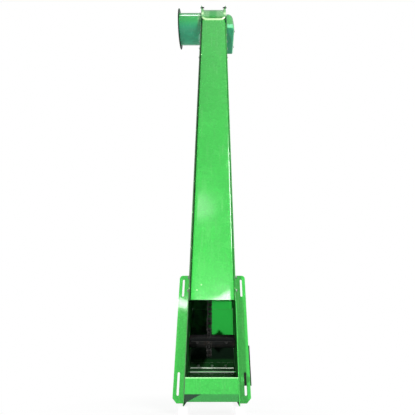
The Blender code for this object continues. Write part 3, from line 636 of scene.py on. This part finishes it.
def make_rivets():
    """Domed rivets along the casing's lips, two low on the lid and one at its upper left edge."""
    bm = bmesh.new()
    for x in (-TROUGH_HIGH.x + 0.0032, TROUGH_HIGH.x - 0.0032):
        for k in range(12):
            z = TROUGH_LOW.z + 0.05 + k * (TROUGH_HIGH.z - TROUGH_LOW.z - 0.10) / 11
            add_dome(bm, (x, TROUGH_LOW.y, z), (0, -1, 0), 0.0021)
    low_rivets = ((0.046, LID_LOW.z + 0.062, 0.0036), (0.028, LID_LOW.z + 0.040, 0.0036))
    for aside, z, radius in (*low_rivets, (0.008, HEAD.z - 0.535, 0.0042)):
        add_dome(bm, (LID_LOW.x + aside, LID_LOW.y, z), (0, -1, 0), radius)
    made("lid_rivets", bm, EDGE_PAINT)


def make_side_bolts():
    """Hex bolts that hold the head's and the boot's side plates to the trough."""
    bm = bmesh.new()
    low, high, _ = size_of("head_side_right")
    seam = [(y, low.z + 0.022, 0.37) for y in (-0.075, -0.025, 0.025, 0.075)]
    edges = [(y, low.z + up, 0.53) for up in (0.11, 0.20, 0.29) for y in (low.y + 0.040, high.y - 0.022)]
    boot = [(y, BOOT_HIGH.z - down, 0.71) for y in (-0.080, 0.062, 0.095) for down in (0.018, 0.075)]
    turn = 0.0
    for side in (-1, 1):
        for x, places in ((high.x, seam + edges), (BOOT_HIGH.x, boot)):
            for y, z, more in places:
                turn += more
                add_hex_bolt(bm, (side * x, y, z), (side, 0, 0), BOLT, turn)
    made("side_plate_bolts", bm, ZINC)


def make_seams():
    """Weld beads on the ears, where the outlet tube enters the head, and round the boot's back plate."""
    bm = bmesh.new()
    seed = 0.0
    for side, node in ((-1, "mount_flange_left"), (1, "mount_flange_right")):
        low, high, _ = size_of(node)
        x = side * (BOOT_HIGH.x + 0.0008)
        for y in (low.y - 0.0006, high.y + 0.0006):
            z = low.z + 0.02
            while z < high.z - 0.03:
                seed += 1.0
                add_weld(bm, (x, y, z), (x, y, z + 0.038), 0.0022, seed)
                z += 0.085
    low, high, _ = size_of("outlet_tube")
    plate_top = size_of("head_side_left")[1].z
    for k in range(64):
        angles = (2 * pi * k / 64, 2 * pi * (k + 1) / 64)
        start, end = (around(high.x - 0.0012, HEAD, (high.z - low.z) / 2, angle) for angle in angles)
        if max(start[2], end[2]) < plate_top:
            add_weld(bm, start, end, 0.0020, k)
    low, high, _ = size_of("boot_back_plate")
    for side in (-1, 1):
        x = side * (high.x + 0.0003)
        add_weld(bm, (x, high.y, low.z), (x, high.y, high.z), 0.0018, 70.0 + side)
    for z in (low.z, high.z):
        add_weld(bm, (low.x, high.y, z), (high.x, high.y, z), 0.0018, 80.0 + z)
    made("weld_beads", bm, WELD)


# ---- head


def make_cap():
    """The curved cap with its edges folded in, and a segment at each end above the side plates."""
    low, high, _ = size_of("head_cap")
    radius, edge = high.y - SHEET / 2, low.z + SHEET / 2
    inner = radius - 0.0155
    path = rounded([(-inner, edge), (-radius, edge), (-radius, HEAD.z)], 0.004, 4)[:-1]
    path += arc((0, HEAD.z), radius, 180, 0, 56)
    path += rounded([(radius, HEAD.z), (radius, edge), (inner, edge)], 0.004, 4)[1:]
    outline = sheet_outline(path)
    steps = 12
    xs = [low.x + (high.x - low.x) * k / steps for k in range(steps + 1)]
    bm = loft(bmesh.new(), [[(x, point.x, point.y) for point in outline] for x in xs])
    segment = arc((0, HEAD.z), radius, 36, 144, 40)
    for side in (-1, 1):
        ends = (side * (high.x - 0.0008), side * (high.x - 0.0028))
        loft(bm, [[(x, y, z) for y, z in segment] for x in ends])
    made("cap_skin", bm, CAP_PAINT, stands_for=("head_cap",))


def make_lip():
    """The rolled lip across the lid's top, whose ends turn up as flanges to the side plates' corners."""
    _, plate_high, _ = size_of("head_side_right")
    half, bottom, top = plate_high.x - 0.0115, LID_HIGH.z - 0.034, plate_high.z - 0.073
    front = min(LID_LOW.y, size_of("head_cap")[0].y) - 0.0006
    path = [(-half, top), (-half, bottom), (half, bottom), (half, top)]
    path = finer(rounded(path, 0.034, 10), 0.010)
    bm = bmesh.new()
    rings = []
    for i, point in enumerate(path):
        before, after = path[max(i - 1, 0)], path[min(i + 1, len(path) - 1)]
        along = (after - before).normalized()
        across = Vector((-along.y, along.x))
        upward = min(max((point.y - bottom) / 0.05, 0.0), 1.0)
        width, depth = 0.0105 - 0.0015 * upward, 0.0075 - 0.0045 * upward
        base = LID_LOW.y + (front - LID_LOW.y) * upward
        section = [(-width, 0.0)]
        section += [(-width * cos(a), depth * sin(a)) for a in (0.5, 1.0, 1.57, 2.14, 2.64)]
        section += [(width, 0.0)]
        rings.append([(point.x + across.x * u, base - v, point.y + across.y * u) for u, v in section])
    # The lip's near-white paint is a painted highlight.
    made("cap_lip", loft(bm, rings), LIP_HIGHLIGHT_PAINT)


def make_outlet():
    """Rolled outlet tube with a collar and a weld seam, and its drilled flange."""
    low, high, _ = size_of("outlet_tube")
    radius = (high.z - low.z) / 2
    bore, collar, start, end = radius - 0.0025, radius + 0.0016, low.x, high.x
    profile = [(start, bore), (start, radius - 0.0005), (start + 0.0005, radius)]
    profile += [(start + 0.03, radius), (end - 0.046, radius)]
    profile += [(end - 0.020, radius), (end - 0.018, collar), (end, collar), (end, bore)]
    made("outlet_skin", turned_mesh(profile, HEAD, 128), TUBE_PAINT, stands_for=("outlet_tube",))
    bm = bmesh.new()
    ends = (around(x, HEAD, radius, radians(148)) for x in (start + 0.008, end - 0.048))
    add_weld(bm, *ends, 0.0013, 5.0)
    made("outlet_seam", bm, TUBE_PAINT)

    low, high, _ = size_of("outlet_flange")
    face = flange_face((high.z - low.z) / 2, radius + 0.0005, 0.130, 0.0045, 8)
    bmesh.ops.translate(face, verts=face.verts, vec=(low.x, HEAD.y, HEAD.z))
    thicken(face, face.faces[:], (high.x - low.x, 0, 0))
    bevelled(made("flange_skin", face, FLANGE_SHADE_PAINT, stands_for=("outlet_flange",), smooth_angle=30), 0.0006)


def thicken(bm, faces, reach):
    """Extrudes the faces by this much."""
    grown = bmesh.ops.extrude_face_region(bm, geom=faces)
    moved = [item for item in grown["geom"] if isinstance(item, bmesh.types.BMVert)]
    bmesh.ops.translate(bm, verts=moved, vec=reach)


def flange_face(outer, inner, circle, hole, holes):
    """A flat ring in the YZ plane with round holes on a circle, built sector by sector."""
    bm = bmesh.new()
    steps, sector, origin = 12, 2 * pi / holes, Vector()
    for k in range(holes):
        middle = (k + 0.5) * sector
        turns = [sector * i / steps for i in range(steps + 1)]
        rim = [around(0, origin, outer, middle - sector / 2 + turn) for turn in turns]
        rim += [around(0, origin, inner, middle + sector / 2 - turn) for turn in turns]
        centre = Vector(around(0, origin, circle, middle))
        outside = [bm.verts.new(point) for point in rim]
        inside = [bm.verts.new(centre + (Vector(point) - centre).normalized() * hole) for point in rim]
        for i in range(len(rim)):
            j = (i + 1) % len(rim)
            bm.faces.new((outside[i], outside[j], inside[j], inside[i]))
    bmesh.ops.remove_doubles(bm, verts=bm.verts, dist=1e-6)
    return bm


def make_guard():
    """The drive guard: a pressed cover, domed at its top, with a rolled rim and a lower band whose bright paint is
    a painted highlight.
    """
    low, high, _ = size_of("drive_guard")
    rim, dome, neck = 0.013, 0.046, 0.006
    band_top = low.z + 0.056

    def rounding(x, size):
        """How far a quarter round of this size has turned in at x."""
        share = min(max((x - (high.x - size)) / size, 0.0), 1.0)
        return size * (1 - sqrt(1 - share * share))

    def outline(x, extra):
        necked = neck * 1.4 if x < low.x + neck else 0.0
        small = rounding(x, rim) + extra
        r, corner, floor = high.y, 0.010, low.z + small
        points = arc((-r + corner, low.z + corner), corner, 270, 180, 4) + [(-r, band_top)]
        points += arc((0, HEAD.z), r, 180, 0, 48)
        points += [(r, band_top)] + arc((r - corner, low.z + corner), corner, 0, -90, 4)
        moved = []
        for y, z in points:
            up = min(max((z - band_top) / (HEAD.z + 0.02 - band_top), 0.0), 1.0)
            up = up * up * (3 - 2 * up)
            inset = small + (rounding(x, dome) - rounding(x, rim)) * up + necked
            out = Vector((y, max(z - HEAD.z, 0.0)))
            reach = max(out.length, 1e-6)
            share = max(reach - inset, 0.0) / reach
            moved.append((out.x * share, (HEAD.z + out.y * share) if z > HEAD.z else max(z, floor + necked)))
        return moved

    xs = [low.x, low.x + neck - 0.001, low.x + neck]
    xs += [high.x - dome * cos(pi / 2 * k / 14) for k in range(14)]
    xs += [high.x - 0.0004, high.x - 0.0001]
    skin = [[(x, y, z) for y, z in outline(x, 0.0)] for x in xs]
    lining = [[(min(x, high.x - SHEET), y, z) for y, z in outline(x, SHEET)] for x in reversed(xs)]
    made("guard_skin", loft(bmesh.new(), lining + skin), HEAD_PAINT, stands_for=("drive_guard",))

    y, bottom = low.y - 0.0012, low.z + 0.004
    section = [(y, bottom), (y - 0.0022, bottom + 0.004), (y - 0.0026, band_top - 0.006), (y, band_top)]
    section += [(y + 0.0015, band_top), (y + 0.0015, bottom)]
    xs = (low.x + neck + 0.001, low.x + neck + 0.004, high.x - rim - 0.001, high.x - rim + 0.004)
    made("guard_band", loft(bmesh.new(), [[(x, y, z) for y, z in section] for x in xs]), BAND_HIGHLIGHT_PAINT)

    bm = bmesh.new()
    for y in (-0.062, 0.062):
        add_hex_bolt(bm, (high.x, y, HEAD.z - 0.145), (1, 0, 0), 0.0060, y * 9)
    made("guard_bolts", bm, ZINC)


def make_auger():
    """A full turn of flight with a rolled edge, on its tube."""
    low, high, _ = size_of("head_auger")
    radius = (high.y - low.y) / 2
    bore, outside, chamfer = 0.0155, 0.0190, 0.0008
    profile = [(low.x, outside - chamfer), (low.x + chamfer, outside), (high.x - chamfer, outside)]
    profile += [(high.x, outside - chamfer), (high.x, bore), (low.x, bore)]
    bm = turned_mesh(profile, HEAD, 64)
    pitch, half, steps = 0.150, 0.0015, 96
    section = [(0.017, -half * 1.6), (0.030, -half), (radius - 0.001, -half * 0.7), (radius, -half * 0.2)]
    section += [(r, -push) for r, push in reversed(section)]
    rings = []
    for k in range(steps + 1):
        x = low.x + 2 * half + (high.x - low.x - 4 * half) * k / steps
        angle = 2 * pi * (x - low.x) / pitch
        rings.append([around(x + push, HEAD, r, angle) for r, push in section])
    made("auger_skin", loft(bm, rings), FLIGHT_STEEL, ("head_auger",), "head_rotor")


def make_cap_bolts():
    """Hex bolts through the corners of the head's side plates, with their nuts inside."""
    names = sorted(node for node in frame["nodes"] if node.startswith("cap_bolt_"))
    plate_low, plate_high, _ = size_of("head_side_right")
    bm = bmesh.new()
    for turn, name in enumerate(names):
        middle = size_of(name)[2]
        side = copysign(1.0, middle.x)
        nut = aim((side * (plate_low.x - 0.0003), middle.y, middle.z), (-side, 0, 0))
        add_hex_bolt(bm, (side * (plate_high.x + 0.0003), middle.y, middle.z), (side, 0, 0), BOLT, turn * 0.4)
        add_ring_stack(bm, nut, [(0, 0.0085), (0.0072, 0.0085), (0.0082, 0.0070)], 6)
        add_ring_stack(bm, nut, [(0.0075, 0.0045), (0.0190, 0.0045), (0.0198, 0.0036)], 16)
    made("cap_bolt_set", bm, DARK_STEEL, names)


# ---- chain and paddles


class Loop:
    """The chain's pitch line, measured from level with the boot shaft on the front strand."""

    radius = (CHAIN_HIGH.y - CHAIN_LOW.y) / 2 - 0.0085
    run = HEAD.z - BOOT.z
    half_turn = pi * radius
    length = 2 * run + 2 * half_turn

    @classmethod
    def at(cls, distance):
        """(point in x = 0, outward direction) at this distance."""
        d = distance % cls.length
        if d < cls.run:
            return Vector((0, -cls.radius, BOOT.z + d)), Vector((0, -1, 0))
        d -= cls.run
        if d < cls.half_turn:
            a = d / cls.radius
            out = Vector((0, -cos(a), sin(a)))
            return Vector((0, 0, HEAD.z)) + out * cls.radius, out
        d -= cls.half_turn
        if d < cls.run:
            return Vector((0, cls.radius, HEAD.z - d)), Vector((0, 1, 0))
        a = (d - cls.run) / cls.radius
        out = Vector((0, cos(a), -sin(a)))
        return Vector((0, 0, BOOT.z)) + out * cls.radius, out


LINKS = 126
LINK_PITCH = Loop.length / LINKS


def unshadowed(piece):
    """The lit back wall behind the chain stays free of the chain's shadow."""
    piece.visible_shadow = False


def place_between(first, second, x):
    """A matrix with local X along the link from first to second, local Z outward and local Y across."""
    start, out_a = Loop.at(first)
    end, out_b = Loop.at(second)
    along = (end - start).normalized()
    across = Vector((1, 0, 0))
    outward = along.cross(across)
    if outward.dot(out_a + out_b) < 0:
        across = -across
        outward = -outward
    middle = (start + end) / 2 + Vector((x, 0, 0))
    return Matrix.Translation(middle) @ Matrix((along, across, outward)).transposed().to_4x4()


def link_plate(length, height, steps=6):
    """A waisted side plate's outline in its own plane."""
    points = []
    for centre, start in ((length / 2, -pi / 2), (-length / 2, pi / 2)):
        for k in range(steps + 1):
            a = start + pi * k / steps
            points.append((centre + height / 2 * cos(a), height / 2 * sin(a)))
        waist = -1 if start > 0 else 1
        points.append((0.0, waist * height * 0.40))
    return points


def make_chain():
    """Roller chain: paired plates, rollers and pins."""
    plates, rollers = bmesh.new(), bmesh.new()
    x = CHAIN_MIDDLE.x
    outline = link_plate(LINK_PITCH * 0.98, 0.0155)
    for k in range(LINKS):
        place = place_between(k * LINK_PITCH, (k + 1) * LINK_PITCH, x)
        offset = 0.0058 if k % 2 == 0 else 0.0080
        for side in (-1, 1):
            ends = (side * offset, side * (offset + 0.0018))
            loft(plates, [[place @ Vector((u, y, v)) for u, v in outline] for y in ends])
        centre = aim(Loop.at(k * LINK_PITCH)[0] + Vector((x, 0, 0)), (1, 0, 0))
        roller = [(-0.0056, 0.0056), (-0.0050, 0.0060), (0.0050, 0.0060), (0.0056, 0.0056)]
        pin = [(-0.0108, 0.0022), (-0.0104, 0.0028), (0.0104, 0.0028), (0.0108, 0.0022)]
        add_ring_stack(rollers, centre, roller, 14)
        add_ring_stack(rollers, centre, pin, 10)
    unshadowed(made("chain_plates", plates, SOOTED_STEEL, ("drag_chain",)))
    unshadowed(made("chain_rollers", rollers, SOOTED_STEEL))


def paddle_mesh(low, high, half, notch, notch_top, centre):
    """A bevelled rubber pad with a slot for the chain."""
    corners = [(-half, low), (centre - notch, low), (centre - notch, notch_top), (centre + notch, notch_top)]
    corners += [(centre + notch, low), (half, low), (half, high), (-half, high)]
    bm = bmesh.new()
    thickness = 0.0085
    face = bm.faces.new([bm.verts.new((x, -thickness / 2, z)) for x, z in corners])
    thicken(bm, [face], (0, thickness, 0))
    bmesh.ops.recalc_face_normals(bm, faces=bm.faces)
    edges = [edge for edge in bm.edges if edge.calc_face_angle(0) > 0.5]
    bmesh.ops.bevel(bm, geom=edges, offset=0.0014, segments=3, affect="EDGES", profile=0.6)
    return mesh_from(bm, "paddle_pad", RUBBER, 40)


def make_paddles():
    """Rubber pads on the chain's attachment links, each under a steel strip held by three bolts."""
    names = sorted(node for node in frame["nodes"] if node.startswith("paddle_"))
    low, high, _ = size_of(names[0])
    half = high.x
    outer = (BOOT.y - low.y) - Loop.radius
    pad = paddle_mesh(-Loop.radius + 0.0292, outer, half, 0.0125, 0.0090, CHAIN_MIDDLE.x)
    strips, bolts = bmesh.new(), bmesh.new()
    edge, bottom, top = half - 0.006, 0.0130, 0.0330
    outline = [(-edge, bottom), (edge, bottom), (edge, top), (-edge, top)]
    for k, name in enumerate(names):
        point, outward = Loop.at(k * Loop.length / len(names))
        along = outward.cross(Vector((1, 0, 0)))
        turn = Matrix((Vector((1, 0, 0)), -along, outward)).transposed().to_4x4()
        place = Matrix.Translation(point) @ turn
        piece = linked(f"pad_{k + 1:02d}", pad)
        piece.matrix_world = Matrix.Translation(SHIFT) @ place
        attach(piece, ROOT)
        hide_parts(name)
        unshadowed(piece)
        for side in (-1, 1):
            loft(strips, [[place @ Vector((x, side * y, z)) for x, z in outline] for y in (0.0046, 0.0072)])
        for x in (-0.058, CHAIN_MIDDLE.x, 0.058):
            front, rear = (place @ Vector((x, y, (bottom + top) / 2)) for y in (0.0072, -0.0072))
            add_hex_bolt(bolts, front, turn @ Vector((0, 1, 0)), 0.0052, x * 31)
            add_dome(bolts, rear, turn @ Vector((0, -1, 0)), 0.0060)
    unshadowed(bevelled(made("paddle_strips", strips, SOOTED_STEEL), 0.0005))
    unshadowed(made("paddle_bolts", bolts, SOOTED_STEEL))


# ---- boot


def add_bolt_square(bm, x, centre, reach, outward, radius):
    """Four bolts about the line along X through the centre."""
    for k in range(4):
        add_hex_bolt(bm, around(x, centre, reach, pi / 4 + k * pi / 2), outward, radius, k)


def make_bearing_bolts():
    """Bolts through the bearings' flanges, and the boot bearings' grease nipples."""
    bm = bmesh.new()
    nipple = [(0, 0.0030), (0.004, 0.0030), (0.004, 0.0018), (0.007, 0.0024), (0.0085, 0.0012)]
    for side in (-1, 1):
        add_bolt_square(bm, side * (BOOT_HIGH.x + 0.0065), BOOT, 0.0298, (side, 0, 0), 0.0026)
        place = aim((side * (BOOT_HIGH.x + 0.018), -0.0235, BOOT.z), (0, -1, 0))
        add_ring_stack(bm, place, nipple, 12)
    made("boot_bearing_bolts", bm, ZINC, body="take_up_carriage")

    bm = bmesh.new()
    add_bolt_square(bm, size_of("head_bearing")[0].x + 0.006, HEAD, 0.0375, (1, 0, 0), 0.0034)
    made("head_bearing_bolts", bm, ZINC)


def make_rear_strip():
    """The bolted strip that covers the joint below the cap at the back."""
    low, high, _ = size_of("head_cap")
    half, y0, y1 = high.x - 0.0005, TROUGH_HIGH.y + 0.0004, TROUGH_HIGH.y + 0.0024
    outline = [(-half, y0), (half, y0), (half, y1), (-half, y1)]
    heights = (TROUGH_HIGH.z - 0.022, low.z + 0.0165)
    bm = loft(bmesh.new(), [[(x, y, z) for x, y in outline] for z in heights])
    for x in (-0.075, -0.025, 0.025, 0.075):
        add_hex_bolt(bm, (x, y1, TROUGH_HIGH.z - 0.011), (0, 1, 0), 0.0050, x * 17)
    bevelled(made("head_rear_strip", bm, OUTER_PAINT))


# ---- stage, light and camera


def studio_pale(name):
    """Pale matt floor that fades to the white of the surround away from the machine."""
    g = Graph(name)
    tone = g.mixed(g.noise(2.0, 3.0), rgb(0.92, 0.92, 0.92), rgb(0.90, 0.90, 0.90))
    surface, glow, mix = g.add("BsdfPrincipled"), g.add("Emission"), g.add("MixShader")
    for key, value in (("Base Color", tone), ("Roughness", 0.9), ("Specular IOR Level", 0.0)):
        g.feed(surface.inputs[key], value)
    glow.inputs["Strength"].default_value = 1.0
    away = g.maths("SQRT", g.maths("ADD", g.product(g.x, g.x), g.product(g.y, g.y)))
    seen = g.add("LightPath").outputs["Is Camera Ray"]
    share = g.product(seen, g.ranged(away, 0.15, 0.8, 0.90, 1.0))
    for socket, value in zip(mix.inputs, (share, surface.outputs[0], glow.outputs[0])):
        g.feed(socket, value)
    g.feed(g.add("OutputMaterial").inputs["Surface"], mix.outputs[0])
    return g.material


def stage_piece(name, bm, material):
    bmesh.ops.translate(bm, verts=bm.verts, vec=SHIFT)
    piece = linked(name, mesh_from(bm, name, material))
    return piece


def make_stage():
    """A pale floor, with two low pale bars that the boot stands on."""
    floor_z, reach, depth = -0.030, 6.0, 0.125
    pale = studio_pale("pale_studio")
    bm = bmesh.new()
    corners = [(-reach, -reach), (reach, -reach), (reach, reach), (-reach, reach)]
    bm.faces.new([bm.verts.new((x, y, floor_z)) for x, y in corners])
    stage_piece("floor", bm, pale).visible_glossy = False
    for name, x0, x1 in (("rest_bar_left", -0.113, -0.083), ("rest_bar_right", 0.083, 0.113)):
        outline = [(x0, -depth), (x1, -depth), (x1, depth), (x0, depth)]
        bm = loft(bmesh.new(), [[(x, y, z) for x, y in outline] for z in (floor_z, -0.0006)])
        bevelled(stage_piece(name, bm, pale), 0.002, 3)


def area_light(name, point, target, width, height, power, colour=(1.0, 1.0, 1.0), roll=0.0):
    """A rectangular lamp at the point, turned to the target."""
    data = bpy.data.lights.new(name, "AREA")
    data.shape, data.size, data.size_y = "RECTANGLE", width, height
    data.energy, data.color = power, colour
    lamp = linked(name, data)
    point, target = Vector(point) + SHIFT, Vector(target) + SHIFT
    turn = (target - point).to_track_quat("-Z", "Y").to_matrix().to_4x4()
    lamp.matrix_world = Matrix.Translation(point) @ turn @ Matrix.Rotation(radians(roll), 4, "Z")
    return lamp


def glint(name, piece, point, target, width, height, power, roll=0.0):
    """A box that one piece mirrors and that lights nothing; the glow's box fades towards its edges."""
    lamp = area_light(name, point, target, width, height, power, roll=roll)
    lamp.visible_diffuse = False
    seen_on = bpy.data.collections.new(name + "_on")
    seen_on.objects.link(bpy.data.objects[piece])
    lamp.light_linking.receiver_collection = seen_on
    if name != "lid_glow":
        return
    tree = nodes_of(lamp.data)
    place = tree.nodes.new("ShaderNodeNewGeometry").outputs["Parametric"]
    centred = tree.nodes.new("ShaderNodeVectorMath")
    centred.operation = "DISTANCE"
    centred.inputs[1].default_value = (0.5, 0.5, 0.0)
    fade = tree.nodes.new("ShaderNodeMapRange")
    fade.interpolation_type = "SMOOTHERSTEP"
    for socket, value in zip(fade.inputs[1:], (0.0, 0.5, 1.0, 0.0)):
        socket.default_value = value
    glow = tree.nodes.new("ShaderNodeEmission")
    output = tree.nodes.new("ShaderNodeOutputLight")
    tree.links.new(place, centred.inputs[0])
    tree.links.new(centred.outputs["Value"], fade.inputs[0])
    tree.links.new(fade.outputs[0], glow.inputs["Strength"])
    tree.links.new(glow.outputs[0], output.inputs["Surface"])


def make_lights():
    """A small low key from the left of the mouth, soft boxes above and behind, and a pale surround."""
    front = LID_LOW.y
    key_place = (-0.58, front - 1.38, 0.13)
    key = area_light("key", key_place, (0.0, 0.0, 0.40), 0.10, 0.10, 21.0, (1.0, 0.99, 0.97))
    key.visible_glossy = False
    area_light("main_box", (1.7, front - 2.5, 2.7), (0.0, 0.0, 1.6), 1.1, 1.8, 124.0)
    area_light("rear_box", (2.4, 2.4, 2.2), (0.0, 0.0, 1.4), 1.6, 3.0, 90.0, (0.92, 0.97, 1.0))
    area_light("rear_left_box", (-2.6, 1.6, 1.8), (0.0, 0.0, 1.4), 1.2, 3.0, 60.0, (0.95, 0.98, 1.0))
    # Boxes that only show as reflections, each on one piece.
    far = front - 3.38
    glint("lid_glow", "lid_skin", (-0.24, front - 3.0, 2.47), (-0.05, front, 1.1), 0.80, 0.80, 7.0)
    glint("ear_glint", "mount_flange_left", (-0.50, far, 0.960), (-0.12, front, 0.36), 0.24, 0.12, 2.0, -12.0)
    glint("lid_glint", "lid_skin", (0.09, far, 0.92), (0.05, front, 0.37), 0.66, 0.30, 11.5, 16.0)
    glint("tube_glint", "outlet_skin", (-0.336, -1.254, 4.20), (-0.19, -0.1, HEAD.z), 0.24, 0.25, 2.5)

    world = bpy.data.worlds.new("surround")
    bpy.context.scene.world = world
    tree = nodes_of(world)
    path = tree.nodes.new("ShaderNodeLightPath")
    output = tree.nodes.new("ShaderNodeOutputWorld")

    def surround(strength, colour):
        node = tree.nodes.new("ShaderNodeBackground")
        node.inputs["Color"].default_value = colour
        node.inputs["Strength"].default_value = strength
        return node.outputs[0]

    def chosen(factor, first, second):
        node = tree.nodes.new("ShaderNodeMixShader")
        for socket, value in zip(node.inputs, (factor, first, second)):
            tree.links.new(value, socket)
        return node.outputs[0]

    soft = surround(0.05, rgb(0.93, 0.97, 1.0))
    mirrored = surround(0.45, rgb(0.95, 0.98, 1.0))
    seen = surround(1.0, rgb(1.0, 1.0, 1.0))
    light = chosen(path.outputs["Is Glossy Ray"], soft, mirrored)
    tree.links.new(chosen(path.outputs["Is Camera Ray"], light, seen), output.inputs["Surface"])


def make_camera():
    """Low in front of the mouth, tilted up along the casing."""
    distance, height, aside, tilt = 1.171, 0.137, 0.012, 29.2
    data = bpy.data.cameras.new("camera")
    data.sensor_width, data.lens, data.shift_x, data.clip_start = 36.0, 23.86, -0.018, 0.02
    camera = linked("camera", data)
    camera.location = SHIFT + Vector((aside, LID_LOW.y - distance, height))
    camera.rotation_euler = (radians(90 + tilt), 0, 0)
    bpy.context.scene.camera = camera


finish_nodes()
make_lid()
make_rivets()
make_side_bolts()
make_seams()
make_cap()
make_lip()
make_outlet()
make_guard()
make_auger()
make_cap_bolts()
make_chain()
make_paddles()
make_bearing_bolts()
make_rear_strip()
make_stage()
make_lights()
make_camera()
bpy.context.scene.view_settings.view_transform = "Standard"
